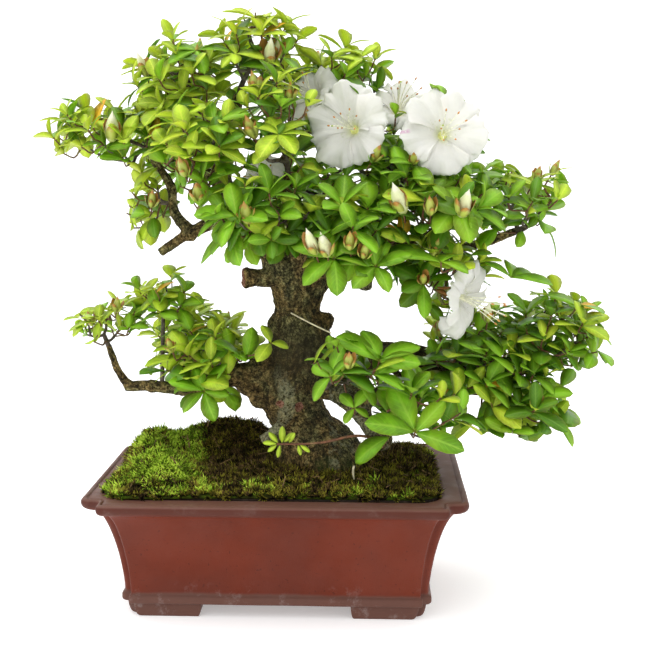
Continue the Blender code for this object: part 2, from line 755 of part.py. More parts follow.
def grow_limbs(tree):
    """Work out every limb, leaving its collar on its parent."""
    tree.solids["trunk"], tree.extras["trunk"] = trunk_shapes()
    trunk = shape_tree(tree.solids["trunk"])
    whole_runs = {limb.name: limb_run(limb, number * 1.7) for number, limb in enumerate(LIMBS)}
    for limb in LIMBS:
        siblings = [whole_runs[other.name] for other in LIMBS
                    if other.parent == limb.parent and other is not limb]
        path, radii = whole_runs[limb.name]
        index = clear_index(path, radii, trunk, whole_runs.get(limb.parent), siblings)
        collar, rest = split_run(path, radii, index)
        tree.extras[limb.parent].append(ends_kept(*collar, COLLAR_STEP, LIMB_SIDES))
        tree.runs[limb.name] = rest
        tree.solids[limb.name] = ends_kept(*rest, LIMB_STEP, LIMB_SIDES)
        tree.extras[limb.name] = []


# Foliage.

class Space:
    """The convex room of one mass: an ellipsoid cut by planes towards its neighbours."""

    def __init__(self, mass):
        self.centre = Vector(mass.centre)
        self.radii = Vector(mass.radii)
        self.planes = []

    def support(self, heading):
        """Give how far the ellipsoid reaches along a heading."""
        return math.sqrt(sum((size * part) ** 2 for size, part in zip(self.radii, heading)))

    def part_from(self, other):
        """Set a plane between this space and another where they would meet."""
        heading = other.centre - self.centre
        distance = heading.length
        heading.normalize()
        mine = self.support(heading)
        theirs = other.support(heading)
        if mine + theirs > distance:
            self.planes.append((heading, self.centre.dot(heading) + distance * mine / (mine + theirs)))

    def holds(self, point, margin):
        """Say whether a point lies inside by a margin."""
        offset = point - self.centre
        if sum((part / (size - margin)) ** 2 for part, size in zip(offset, self.radii)) > 1.0:
            return False
        return all(point.dot(heading) < limit - margin for heading, limit in self.planes)

    def reach(self, start, heading, longest):
        """Give how far a line from a point stays inside, up to a longest length."""
        length = longest
        while length > 0.0 and not self.holds(start + heading * length, SPACE_MARGIN):
            length -= 1.0
        return length


def blade(root, heading, light, length, width, thickness):
    """Make a leaf: a flat diamond with a raised middle, turned to the light, its root sunk in its twig."""
    side = heading.cross(light)
    if side.length < 0.2:
        side = heading.orthogonal()
    side.normalize()
    up = side.cross(heading).normalized()
    base = root - heading * LEAF_SINK
    belly = root + heading * length * LEAF_BELLY
    middle = root + heading * length * LEAF_RIDGE
    vertices = [base, belly + side * (width / 2), root + heading * length, belly - side * (width / 2),
                middle + up * thickness]
    faces = [(0, 1, 4), (1, 2, 4), (2, 3, 4), (3, 0, 4), (3, 2, 1, 0)]
    return vertices, faces


def flower_shape(flower):
    """Make an open flower with a thin wall: neck, throat and a mouth of rounded lobes."""
    centre = Vector(flower.centre)
    facing = Vector(flower.facing).normalized()
    side = facing.orthogonal().normalized()
    other = facing.cross(side)
    half = flower.width / 2
    steps = FLOWER_LOBES * 2
    rings = []
    for wall in (0.0, FLOWER_WALL):
        ordered = FLOWER_LEVELS if wall == 0.0 else reversed(FLOWER_LEVELS[1:])
        for depth, share, lobing in ordered:
            ring = []
            for index in range(steps):
                angle = 2.0 * math.pi * index / steps
                lobe = 1.0 - FLOWER_NOTCH * lobing * (index % 2 == 0)
                radius = max(FLOWER_NECK - wall, half * share) * lobe
                lift = wall if depth else 0.0
                if depth == 0.0 and wall:
                    radius -= FLOWER_EDGE
                    lift = FLOWER_EDGE / 2
                ring.append(centre - facing * (depth - lift) + side * (radius * math.cos(angle))
                            + other * (radius * math.sin(angle)))
            rings.append(ring)
    return loft(rings), centre - facing * (FLOWER_DEPTH - FLOWER_NECK)


Shoot = namedtuple("Shoot", "tip heading side length")


class Growth:
    """Grows one mass: a stem, twigs that branch by a seeded rule, and the leaves on them."""

    def __init__(self, mass, seed, space, root, heading, radius):
        self.mass = mass
        self.random = random.Random(seed)
        self.space = space
        self.root = root
        self.heading = heading
        self.radius = radius
        self.fixed = []
        self.flowers = []
        self.shapes = []
        self.nodes = []
        self.blades = []
        self.hub = None
        self.stem = None

    def make_stem(self):
        """Run the stem from its root gap to the hub, where the first twigs leave."""
        start = self.root
        straight = start + self.heading * STEM_STRAIGHT
        to_centre = self.space.centre - straight
        share = 0.0
        depth = min(HUB_DEPTH, min(self.space.radii) * HUB_DEPTH_SHARE)
        while share < HUB_LONGEST_WAY and not self.space.holds(straight + to_centre * share, depth):
            share += HUB_STEP
        self.hub = straight + to_centre * share
        path = [start, straight]
        if (self.hub - straight).length > STEM_SHORTEST:
            path.append(self.hub)
        last = (path[-1] - path[-2]).normalized()
        self.hub = path[-1]
        path[-1] = self.hub + last * STEM_SWELL * 0.6
        radii = [self.radius] + [STEM_RADIUS] * (len(path) - 2) + [STEM_SWELL]
        self.stem = loft(tube_rings(path, radii, STEM_SIDES))
        self.fixed.append(self.stem)
        self.nodes.append((self.hub, 0.0))

    def make_flowers(self):
        """Set the mass's flowers on twigs that leave the hub."""
        for flower in FLOWERS:
            if flower.mass == self.mass.name:
                shape, neck = flower_shape(flower)
                twig = straight_tube(self.hub, neck, TWIG_ROOT, TWIG_RADIUS * 1.2, TWIG_SIDES)
                self.flowers.append(shape)
                self.fixed += [shape, twig]
                self.shapes += [shape, twig]

    def is_free(self, shape, obstacles):
        """Say whether a shape stays in the space and touches nothing, leaves of its own mass included."""
        if not all(self.space.holds(vertex, SPACE_MARGIN) for vertex in shape[0]):
            return False
        if shape_tree(shape).overlap(obstacles):
            return False
        beyond_root = shape_tree(([shape[0][0].lerp(shape[0][2], 0.15)] + shape[0][1:], shape[1]))
        if any(beyond_root.overlap(other) for other in self.blades):
            return False
        self.blades.append(beyond_root)
        return True

    def tip_spots(self):
        """Scatter twig tips evenly through the outer part of the space, the outermost one first."""
        inner = self.space.radii - Vector((TIP_DEPTH, TIP_DEPTH, TIP_DEPTH))
        outward = (self.space.centre - CROWN_MIDDLE) * Vector((1.0, 1.0, 1.5))
        outward = Vector([part * size for part, size in zip(outward.normalized(), inner)])
        spacing = min(TIP_SPACING, sum(inner) * TIP_CROWDING)
        spots = []
        if self.space.holds(self.space.centre + outward, TIP_MARGIN):
            spots.append(self.space.centre + outward)
        for _ in range(TIP_TRIES):
            lift = self.random.uniform(TIP_LOWEST, 1.0)
            turn = self.random.uniform(0.0, 2.0 * math.pi)
            flat = math.sqrt(1.0 - lift * lift)
            depth = self.random.uniform(TIP_INNERMOST, 1.0)
            offset = Vector((flat * math.cos(turn), flat * math.sin(turn), lift)) * inner
            spot = self.space.centre + offset * depth
            far_enough = all((spot - other).length > spacing for other in spots)
            if far_enough and self.space.holds(spot, TIP_MARGIN):
                spots.append(spot)
        return sorted(spots, key=lambda spot: (spot - self.hub).length)

    def add_twig(self, tip, obstacles):
        """Grow a twig to a tip from whichever node is nearest and has a free way."""
        ranked = sorted(self.nodes, key=lambda node: (node[0] - tip).length + 0.4 * node[1])
        outward = (tip - self.space.centre).normalized()
        lift = Vector((0.0, 0.0, TWIG_LIFT))
        choices = [(node, share) for node in ranked[:TWIG_CHOICES] for share in TWIG_STRAIGHTNESS]
        for (start, run), straightness in choices:
            towards = tip - start
            length = towards.length
            if length < TWIG_SHORTEST:
                continue
            shoot = (towards.normalized() * straightness + outward + lift).normalized()
            shoot_length = min(SHOOT_LENGTH, length * SHOOT_SHARE)
            bend = tip - shoot * shoot_length
            if (bend - start).angle(shoot) > STEEPEST_BEND:
                continue
            rings = tube_rings([start, bend, tip], [TWIG_ROOT, TWIG_RADIUS * 1.15, TWIG_RADIUS], TWIG_SIDES)
            shape = loft(rings)
            if not shape_tree(shape).overlap(obstacles):
                self.shapes.append(shape)
                self.nodes.append((bend, run + length))
                corner = rings[-1][0] - tip
                side = (corner - shoot * corner.dot(shoot)).normalized()
                return Shoot(tip, shoot, side, shoot_length)
        return None

    def add_leaf(self, root, heading, longest, width_share, thickness, obstacles):
        """Add a leaf or bud that is as long as its space allows."""
        length = min(longest, self.space.reach(root, heading, longest))
        outward = (root - CROWN_MIDDLE).normalized()
        tilt = Vector([self.random.uniform(-LEAF_TILT, LEAF_TILT) for _ in range(3)])
        light = Vector((0.0, 0.0, LEAF_LIFT)) + outward + tilt
        while length >= LEAF_SHORTEST:
            shape = blade(root, heading, light, length, length * width_share, thickness)
            if self.is_free(shape, obstacles):
                self.shapes.append(shape)
                return True
            length -= LEAF_STEP
        return False

    def add_rosette(self, shoot, obstacles):
        """Set leaves up a shoot in turns of three, the lower ones spread wide and the upper ones steep."""
        if self.random.random() < BUD_SHARE:
            self.add_leaf(shoot.tip - shoot.heading, shoot.heading, BUD_LENGTH, BUD_WIDTH,
                          BUD_LENGTH * BUD_WIDTH / 2, obstacles)
        made = 0
        tries = LEAVES_PER_TIP + 2
        for index in range(tries):
            if made == LEAVES_PER_TIP:
                break
            spread = math.radians(self.random.uniform(*(LOWER_SPREAD if index < 3 else UPPER_SPREAD)))
            azimuth = math.radians(60.0 + 120.0 * index + self.random.uniform(-22.0, 22.0))
            side = Matrix.Rotation(azimuth, 3, shoot.heading) @ shoot.side
            heading = shoot.heading * math.cos(spread) + side * math.sin(spread)
            longest = LEAF_LENGTH * self.random.uniform(0.85, 1.05)
            back = (shoot.length - LEAF_START) * (1.0 - index / tries)
            root = shoot.tip - shoot.heading * back
            made += self.add_leaf(root, heading, longest, LEAF_WIDTH, LEAF_THICKNESS, obstacles)
        return made

    def grow(self, obstacles):
        """Grow the twigs and leaves and give how many leaves there are."""
        spots = self.tip_spots()
        shoots = [self.add_twig(tip, obstacles) for tip in spots]
        self.blades = [shape_tree(shape) for shape in self.shapes]
        return sum(self.add_rosette(shoot, obstacles) for shoot in shoots if shoot)


def mass_root(tree, mass):
    """Find where a mass's stem starts: past a limb's tip, or past a spur on its side."""
    path, radii = tree.runs[mass.limb]
    if mass.share >= 1.0:
        heading = (path[-1] - path[-2]).normalized()
        return path[-1] + heading * GAP, heading, radii[-1]
    index = round(mass.share * (len(path) - 1))
    towards = Vector(mass.centre) - path[index]
    along = (path[index + 1] - path[index - 1]).normalized()
    towards = (towards - along * towards.dot(along) * 0.5).normalized()
    start = path[index] + towards * SPUR_START
    end = path[index] + towards * (radii[index] + SPUR_LENGTH)
    tree.extras[mass.limb].append(straight_tube(start, end, SPUR_RADIUS * 1.2, SPUR_RADIUS, SPUR_SIDES))
    return end + towards * GAP, towards, SPUR_RADIUS


def plan_masses(tree):
    """Give each mass its space, its stem and its flowers."""
    spaces = {mass.name: Space(mass) for mass in MASSES}
    growths = []
    for number, mass in enumerate(MASSES):
        space = spaces[mass.name]
        for other in MASSES:
            if other is not mass:
                space.part_from(spaces[other.name])
        root, heading, radius = mass_root(tree, mass)
        growth = Growth(mass, 100 + number, space, root, heading, radius)
        growth.make_stem()
        growth.make_flowers()
        growths.append(growth)
    return growths


def swollen(shape, amount):
    """Push a shape's points outwards by an amount, as the keep-out round it."""
    vertices, faces = shape
    bm = bmesh.new()
    made = [bm.verts.new(vertex) for vertex in vertices]
    for face in faces:
        bm.faces.new([made[index] for index in face])
    bmesh.ops.recalc_face_normals(bm, faces=bm.faces)
    bm.normal_update()
    grown = [vertex.co + vertex.normal * amount for vertex in bm.verts]
    bm.free()
    return grown, faces


def make_foliage(tree, fixed_bodies, collection, material):
    """Grow every mass clear of the limbs, the pot and the other masses' stems and flowers."""
    growths = plan_masses(tree)
    limbs = [swollen(shape, LIMB_MARGIN) for shape in tree.solids.values()]
    limbs += [swollen(shape, LIMB_MARGIN) for shapes in tree.extras.values() for shape in shapes]
    limbs += [swollen(object_shape(body), LIMB_MARGIN) for body in fixed_bodies]
    total = 0
    for growth in growths:
        others = [swollen(shape, SPACE_MARGIN) for other in growths if other is not growth
                  for shape in other.fixed]
        own_flowers = growth.flowers
        obstacles = shape_tree(join_shapes(limbs + others + own_flowers))
        total += growth.grow(obstacles)
        mass_object = add_object(growth.mass.name, growth.stem, collection, material)
        combine(mass_object, growth.shapes)
    return total


def triangle_count(collection):
    """Count the triangles of a collection's meshes."""
    return sum(len(polygon.vertices) - 2 for item in collection.objects if item.type == "MESH"
               for polygon in item.data.polygons)


def set_origin(collection):
    """Hang every piece on one empty, so that the whole stands centred on the origin."""
    corners = [vertex.co for item in collection.objects for vertex in item.data.vertices]
    low = [min(corner[axis] for corner in corners) for axis in range(3)]
    high = [max(corner[axis] for corner in corners) for axis in range(3)]
    stand = bpy.data.objects.new("stand", None)
    stand.location = (-(low[0] + high[0]) / 2, -(low[1] + high[1]) / 2, -low[2])
    for item in collection.objects:
        item.parent = stand
    collection.objects.link(stand)
    return stand


def main():
    """Build the whole plant in its pot."""
    clear_scene()
    collection = make_collection(COLLECTION_NAME)
    clay = make_material("clay", POT_COLOUR, 0.62)
    earth = make_material("earth", SOIL_COLOUR, 0.95)
    green = make_material("moss_green", MOSS_COLOUR, 0.95)
    bark = make_material("bark", BARK_COLOUR, 0.85)
    leaf = make_material("leaf", LEAF_COLOUR, 0.45)

    pot = make_pot(collection, clay)
    make_soil(collection, earth)
    moss = make_moss(collection, green)

    tree = Tree()
    grow_limbs(tree)
    leaves = make_foliage(tree, [pot, moss], collection, leaf)
    for name, shape in tree.solids.items():
        limb_object = add_object(name, shape, collection, bark)
        combine(limb_object, tree.extras[name])

    stand = set_origin(collection)
    print("leaves", leaves, "triangles", triangle_count(collection), "stand", tuple(stand.location))


main()
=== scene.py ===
"""A satsuki azalea bonsai with white flowers in a clay pot, dressed for looks on its packed frame.

Run as a script in Blender 4.5. Lengths inside are millimetres in the frame of the pot: x runs along the
pot, y runs to its back and z is the height over the table. placed() turns them into metres in the frame
of the row. Each operator makes one piece, or one group of like pieces.
"""

import json
import math
import random
from collections import namedtuple

import bmesh
import bpy
import numpy as np
from bpy.props import FloatProperty, FloatVectorProperty, IntProperty, PointerProperty
from mathutils import Matrix, Vector, noise
from mathutils.kdtree import KDTree

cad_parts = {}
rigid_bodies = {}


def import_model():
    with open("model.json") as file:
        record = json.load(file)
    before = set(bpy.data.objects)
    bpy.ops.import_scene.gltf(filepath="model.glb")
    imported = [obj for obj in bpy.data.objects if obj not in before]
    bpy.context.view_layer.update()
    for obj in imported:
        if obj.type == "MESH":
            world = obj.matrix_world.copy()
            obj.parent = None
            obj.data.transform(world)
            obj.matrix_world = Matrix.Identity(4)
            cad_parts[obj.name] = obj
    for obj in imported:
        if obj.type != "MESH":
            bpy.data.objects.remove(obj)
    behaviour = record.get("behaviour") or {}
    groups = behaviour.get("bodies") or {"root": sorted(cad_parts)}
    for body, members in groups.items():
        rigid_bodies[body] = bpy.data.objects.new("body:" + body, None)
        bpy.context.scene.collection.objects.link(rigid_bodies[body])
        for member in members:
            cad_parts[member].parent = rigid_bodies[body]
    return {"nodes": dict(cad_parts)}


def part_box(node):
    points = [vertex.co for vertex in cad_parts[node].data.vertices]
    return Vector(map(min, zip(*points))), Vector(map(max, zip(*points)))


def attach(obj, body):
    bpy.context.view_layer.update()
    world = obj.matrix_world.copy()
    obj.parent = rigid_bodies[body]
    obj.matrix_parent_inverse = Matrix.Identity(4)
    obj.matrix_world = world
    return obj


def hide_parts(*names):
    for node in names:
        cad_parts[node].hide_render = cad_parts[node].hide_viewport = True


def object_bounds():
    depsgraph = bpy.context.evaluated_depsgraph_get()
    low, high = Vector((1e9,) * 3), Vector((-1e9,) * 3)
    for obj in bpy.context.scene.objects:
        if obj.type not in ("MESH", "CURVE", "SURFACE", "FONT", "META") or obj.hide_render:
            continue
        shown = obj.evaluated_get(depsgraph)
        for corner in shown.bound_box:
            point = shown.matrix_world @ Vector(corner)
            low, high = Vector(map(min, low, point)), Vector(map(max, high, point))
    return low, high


bl_info = {
    "name": "Satsuki azalea bonsai",
    "version": (1, 0, 0),
    "blender": (4, 5, 0),
    "location": "View3D > Sidebar > Azalea",
    "description": "Dresses the packed frame of an azalea bonsai in its pot",
    "category": "Object",
}

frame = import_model()
CAD_BOX = [list(corner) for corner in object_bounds()]
BODY = "root"
MM = 0.001
POT_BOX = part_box("pot")
ROW_SHIFT = Vector(((POT_BOX[0].x + POT_BOX[1].x) / 2, (POT_BOX[0].y + POT_BOX[1].y) / 2, 0.0))
MASS_NODES = sorted(name for name in frame["nodes"] if name.startswith("foliage_"))
WOOD_NODES = sorted(name for name in frame["nodes"] if name.startswith(("bough_", "branch_"))) + ["trunk"]

# Pot
POT_LENGTH = 270.0
POT_DEPTH = 187.0
POT_HEIGHT = 89.0
LIP_BOTTOM = 80.5
LIP_OVERHANG = 6.0
WALL_FOOT = 18.2
WALL_INSET = 26.5
COVE_POWER = 0.74
COVE_LEVELS = 22
FEET_HEIGHT = 10.0
FEET_INSET = 27.5
FOOT_LENGTH = 55.0
FOOT_WIDTH = 34.0
FOOT_THICKNESS = 17.0
NOTCH_AT_LIP = 14.6
NOTCH_AT_BASE = 6.0
CAVITY_TOP = (115.0, 73.5)
CAVITY_FLOOR = (102.0, 60.0)
CAVITY_CORNER = 17.0
FLOOR_HEIGHT = 16.0
CAVITY_LIP = 87.2
CAVITY_LEVELS = (86.0, 60.0, 30.0, FLOOR_HEIGHT)
DRAIN_RADIUS = 9.0
DRAIN_OFFSET = 55.0
DRAIN_SIDES = 28
# Levels of the pot's outside, each an inset and a height: the base band, and the rolled lip with its bead
BASE_LEVELS = (
    (26.8, FEET_HEIGHT), (25.6, FEET_HEIGHT + 0.2), (24.8, FEET_HEIGHT + 0.9), (24.5, 12.0), (24.5, 14.0),
    (24.6, 15.0), (25.0, 15.9), (25.7, 16.4), (26.3, 16.9), (26.6, 17.6),
)
LIP_LEVELS = (
    (4.6, 80.7), (3.2, 81.1), (1.9, 81.8), (0.9, 82.7), (0.3, 83.9), (0.0, 85.2), (0.1, 86.6), (0.5, 87.6),
    (1.1, 88.3), (1.9, 88.7), (2.8, 88.9), (3.5, 88.7), (4.0, 88.1), (4.4, 87.6), (4.9, 87.6), (5.4, 88.1),
    (6.0, 88.4),
)
# Levels of the lip's flat top: share of the way from the bead to the inside, and height
FLAT_LEVELS = ((0.25, 88.45), (0.5, 88.5), (0.75, 88.5), (0.93, 88.45), (1.0, 88.1))
# Levels of a foot: height, and how far its outside is set in
FOOT_LEVELS = ((0.0, 5.2), (0.5, 3.9), (1.4, 2.9), (3.2, 2.1), (6.0, 1.3), (FEET_HEIGHT + 1.0, 0.6))
FOOT_FRONT_DRAFT = 0.35
FOOT_END_DRAFT = 0.6
LONG_SIDE_POINTS = 36
SHORT_SIDE_POINTS = 24

# Moss
MOSS_BASE = 89.3
MOSS_EDGE = 0.9
MOSS_FALLOFF = 15.0
MOSS_SPILL = 9.0
MOSS_ANGLES = 300
MOSS_LEVELS = 64
# Mounds: height, centre x, centre y, spread in x and spread in y
MOUNDS = (
    (17.0, -62.0, 42.0, 28.0, 24.0), (17.0, -30.0, 44.0, 26.0, 24.0), (17.0, -104.0, 34.0, 20.0, 24.0),
    (22.0, -84.0, -42.0, 24.0, 17.0), (7.0, 20.0, 0.0, 60.0, 60.0), (3.0, 88.0, 20.0, 30.0, 40.0),
)
# Moss of each tint: name, the settings that hold its colour, colour of its tips, blades of a tuft, how
# far they spread, how thickly it grows, and its seed
MOSS_KINDS = (
    ("moss_bright", "bright_colour", (0.80, 0.98, 0.12), 9, 0.9, 1.0, 11),
    ("moss_olive", "olive_colour", (0.44, 0.40, 0.05), 8, 1.2, 0.75, 12),
    ("moss_brown", "brown_colour", (0.24, 0.15, 0.05), 7, 1.6, 0.65, 13),
)
TUFT_SIZES = (0.6, 1.25)
TUFT_LEAN = 0.35

# Trunk: height, centre x, centre y, half width in x and half depth in y of each section
TRUNK_SECTIONS = (
    (89.3, 30.0, 0.0, 34.0, 32.0),
    (105.0, 29.5, 0.0, 32.0, 30.0),
    (114.0, 26.0, 0.0, 29.5, 28.0),
    (124.0, 19.5, 0.0, 26.3, 25.5),
    (136.0, 10.5, 0.0, 23.3, 23.5),
    (148.0, 8.0, 0.0, 22.5, 23.0),
    (160.0, 9.0, 0.0, 23.0, 23.0),
    (171.0, 12.0, 1.0, 24.5, 23.0),
    (181.0, 14.0, 1.0, 24.0, 22.0),
    (192.0, 14.0, 1.0, 23.5, 21.0),
    (203.0, 12.5, 1.0, 21.5, 19.0),
    (214.0, 12.0, 2.0, 16.3, 17.0),
    (230.0, 13.5, 2.0, 22.5, 20.0),
    (238.0, 14.5, 2.0, 27.0, 22.0),
    (245.0, 15.0, 2.0, 29.5, 23.0),
    (251.0, 14.0, 3.0, 27.0, 21.0),
)
TRUNK_SIDES = 64
ROOT_SPURS = (
    # heading in degrees, swell, half width in degrees
    (200.0, 0.16, 24.0),
    (150.0, 0.12, 22.0),
    (265.0, 0.10, 26.0),
    (325.0, 0.15, 24.0),
    (30.0, 0.13, 26.0),
    (90.0, 0.10, 30.0),
)
FLARE_TOP = 128.0
STUB = ((8.0, -6.0, 238.5), (-27.0, -12.0, 236.0))
STUB_RADII = (8.0, 6.4)

# Limbs: the points that each one bends through, and its radius at the root and at the tip
Limb = namedtuple("Limb", "name points radii")
LIMBS = [Limb(*row) for row in (
    ("bough_left_upper", ((4, 0, 240), (-14, -3, 260), (-40, -8, 277), (-66, -8, 268), (-88, -6, 254)),
     (9.0, 3.2)),
    ("bough_left_riser", ((-64, -8, 268), (-77, -4, 283), (-80, 0, 302), (-93, 4, 321)), (4.6, 3.0)),
    ("bough_leader", ((8, 4, 240), (-8, 6, 268), (-38, 9, 292), (-42, 8, 325), (-30, 5, 368)), (10.0, 4.0)),
    ("bough_leader_right", ((-35, 9, 290), (-12, 16, 307), (10, 17, 331), (28, 16, 352)), (5.5, 3.0)),
    ("bough_front", ((14, -8, 242), (14, -24, 262), (8, -32, 286), (8, -38, 312)), (7.0, 3.2)),
    ("bough_right_upper", ((22, 2, 240), (50, -3, 254), (88, -8, 260), (112, -10, 268), (132, -8, 284)),
     (10.0, 3.6)),
    ("bough_right_riser", ((62, -4, 255), (70, 2, 278), (74, 4, 296), (78, 4, 312)), (5.0, 3.2)),
    ("bough_right_outer", ((98, -8, 262), (126, -2, 258), (150, 4, 262), (172, 5, 270)), (4.6, 3.0)),
    ("bough_back_left", ((6, 12, 240), (-14, 34, 268), (-44, 52, 292), (-64, 62, 312)), (8.0, 3.2)),
    ("bough_back_right", ((22, 14, 240), (40, 36, 262), (64, 54, 282), (84, 62, 296)), (8.0, 3.2)),
    ("branch_left_low", ((0, -2, 164), (-30, -4, 164), (-66, -8, 154), (-96, -6, 155), (-117, -4, 154)),
     (9.5, 3.8)),
    ("branch_left_low_riser", ((-113, -4, 154), (-122, -3, 166), (-127, 0, 178), (-130, 0, 186)), (3.6, 2.4)),
    ("branch_right_low",
     ((22, 5, 172), (50, 8, 169), (80, 10, 175), (106, 8, 172), (126, 4, 164), (162, 0, 158)), (14.0, 3.6)),
    ("branch_right_front", ((14, -6, 154), (42, -20, 153), (58, -30, 142), (70, -36, 126)), (8.0, 6.0)),
    ("branch_back_low", ((16, 10, 176), (44, 34, 180), (84, 50, 176), (118, 56, 172)), (8.0, 3.2)),
)]
# Round lumps and stubs of old wood: middle and radius
LUMPS = (
    ((33.0, -1.0, 204.0), 7.2), ((-12.0, -4.0, 168.0), 13.0), ((-23.0, -2.0, 159.0), 12.5),
    ((-14.0, -5.0, 148.0), 11.0),
    ((12.0, -17.0, 160.0), 9.5), ((10.0, -20.0, 140.0), 7.0), ((31.0, 2.0, 178.0), 12.0),
    ((-66.0, -8.0, 268.0), 6.4), ((-40.0, -8.0, 277.0), 7.6), ((74.0, -38.0, 124.0), 8.6),
    ((60.0, -30.0, 144.0), 7.6), ((80.0, 9.0, 173.0), 10.5), ((98.0, 9.0, 178.0), 8.0),
    ((-96.0, -6.0, 155.0), 5.6), ((-66.0, -8.0, 155.0), 6.8), ((62.0, -4.0, 255.0), 7.4),
    ((-38.0, 9.0, 292.0), 7.8), ((112.0, -10.0, 268.0), 5.4), ((30.0, -4.0, 246.0), 13.0),
    ((-2.0, -2.0, 246.0), 12.0), ((56.0, 2.0, 168.0), 12.5), ((88.0, 8.0, 160.0), 5.0),
)
# Snags where a limb or a root was cut: the points each bends through and its radius at both ends
SNAGS = (
    ((STUB[0], (-9.5, -9.0, 235.8), STUB[1]), STUB_RADII),
    (((10, -18, 137), (3, -25, 131), (-5, -28, 125), (-12, -28, 120)), (5.4, 3.2)),
    (((61, -3, 252), (62, -8, 243), (62.5, -14, 229)), (6.2, 4.7)),
    (((50, -14, 155), (64, -24, 153), (77, -37, 153)), (8.0, 6.6)),
)
# Scars where wood was cut: middle, radius, how red each one is, and how much its distance in y counts
SCARS = (
    ((-27.5, -12.0, 236.0), 7.4, 1.0, 1.0), ((1.0, -20.0, 145.5), 3.6, 1.0, 0.25),
    ((14.5, -24.0, 143.8), 4.0, 1.0, 0.25), ((-1.0, -20.0, 249.0), 2.8, 0.9, 1.0),
    ((74.0, -46.0, 124.0), 4.5, 0.8, 0.25), ((62.6, -19.0, 227.0), 4.6, 1.0, 1.0),
)
SCAR_LIP = 1.3
SCAR_LIP_WIDTH = 1.7
SCAR_DEPTH = 1.0
SAWN_FACE = ((77.0, -39.0, 153.0), 8.0)
CRUSTED_SNAG = ((-6.0, -28.0, 125.0), 11.0)
# Ridge of pale old bark down the trunk's front, and its half width
PALE_RIDGE = ((-3.0, -24.0, 170.0), (2.0, -25.0, 159.0), (6.0, -26.0, 147.0), (2.0, -27.0, 137.0),
              (-12.0, -28.0, 121.0))
PALE_REACH = 7.5
GRAIN_STRETCH = 0.3
TUBE_SIDES = 20

# Masses: centre and half sizes of each one's space, the limb and the share along it that carries it, and
# how much larger than usual its leaves are
Mass = namedtuple("Mass", "name centre radii limb share leaf_size", defaults=(1.0,))
MASSES = [Mass("foliage_" + name, *rest) for name, *rest in (
    ("apex", (-14, 5, 403), (36, 40, 30), "bough_leader", 1.0),
    ("crown_left_top", (-73, 0, 378), (38, 45, 35), "bough_leader", 0.80),
    ("crown_left", (-128, -5, 339), (46, 42, 26), "bough_left_riser", 1.0),
    ("crown_front_left", (-50, -50, 327), (40, 38, 33), "bough_leader", 0.60),
    ("left_under", (-102, 0, 290), (23, 30, 28), "bough_left_riser", 0.45),
    ("crown_front_mid", (7, -48, 344), (36, 38, 36), "bough_front", 1.0),
    ("crown_top_right", (46, 15, 382), (35, 40, 27), "bough_leader_right", 1.0),
    ("crown_front_low", (-9, -62, 286), (42, 36, 30), "bough_front", 0.60, 1.12),
    ("crown_mid_right", (52, -55, 272), (42, 38, 30), "bough_right_upper", 0.36, 1.2),
    ("crown_right_front", (112, -46, 294), (40, 38, 30), "bough_right_upper", 0.80, 1.15),
    ("flowers_left", (42, -30, 332), (38, 34, 34), "bough_right_riser", 0.78),
    ("flowers_right", (100, -20, 338), (44, 42, 38), "bough_right_riser", 1.0),
    ("crown_right_tip", (170, 5, 294), (45, 50, 30), "bough_right_outer", 1.0),
    ("crown_right_low", (118, -34, 242), (38, 38, 32), "bough_right_outer", 0.30),
    ("crown_back_top", (10, 68, 368), (46, 40, 34), "bough_leader_right", 0.62),
    ("crown_back_left", (-84, 72, 339), (47, 40, 36), "bough_back_left", 1.0),
    ("crown_back_right", (102, 74, 319), (48, 40, 36), "bough_back_right", 1.0),
    ("crown_back_low", (8, 80, 290), (46, 38, 32), "bough_back_right", 0.52),
    ("low_left_outer", (-131, 0, 201), (32, 35, 23), "branch_left_low_riser", 1.0, 0.9),
    ("low_left_top", (-87, 0, 223), (30, 36, 20), "branch_left_low", 0.76, 0.9),
    ("low_left_inner", (-50, -12, 176), (44, 44, 32), "branch_left_low", 0.44, 1.12),
    ("low_left_back", (-76, 50, 182), (44, 36, 30), "branch_left_low", 0.62),
    ("low_right_front", (50, -70, 181), (37, 34, 28), "branch_right_front", 0.30, 1.22),
    ("low_right_big", (100, -62, 147), (42, 38, 27), "branch_right_front", 0.90, 1.2),
    ("low_right_mid", (146, -5, 178), (45, 45, 36), "branch_right_low", 0.72, 1.1),
    ("low_right_outer", (204, 0, 197), (40, 50, 36), "branch_right_low", 1.0),
    ("low_right_low", (175, -18, 147), (44, 44, 31), "branch_right_low", 0.90, 1.1),
    ("low_right_back", (150, 62, 176), (48, 40, 34), "branch_back_low", 1.0),
)]
CROWN_MIDDLE = Vector((20.0, 5.0, 270.0))

# Seeds of the random draws
MASS_SEED = 500
LEAF_SEED = 77
BUD_SEED = 5
LITTER_SEED = 31

# Twigs and leaves
CROWD_CELL = 3.0
LIMB_MARGIN = 1.6
WOOD_SEARCH = 40.0
SPOT_TRIES = 1500
TIP_CLEARANCE = 4.0
NODES_TRIED = 8
SHARPEST_BEND = math.radians(80.0)
SHORTEST_TWIG = 5.0
# Leaves high in the crown and at the left take lighter tints, partly as fresher growth and partly as painted
# light falling from above and the left: from which place, and by how much
LIT_FRESH_TOP = (345.0, 0.36)
LIT_FRESH_LEFT = (-40.0, 0.45)
FRESH_FROM = 0.68
MID_FROM = 0.22
RANDOM_BUDS = 0.04
# Leaves: turn from one to the next up a shoot, spread of the lower and of the top ones in degrees, the
# places along one that are tested, the gap kept between two, and the share that takes another tint
LEAF_TURN = 137.5
LOW_SPREAD = (64.0, 94.0)
TOP_SPREAD = (28.0, 62.0)
TOP_LEAVES = 3
TOP_LEAF_SIZE = 0.78
LEAF_MARKS = (0.45, 0.75, 1.0)
LEAF_HALF_WIDTH = 0.3
LEAF_GAP = 2.5
OTHER_TINT = 0.18

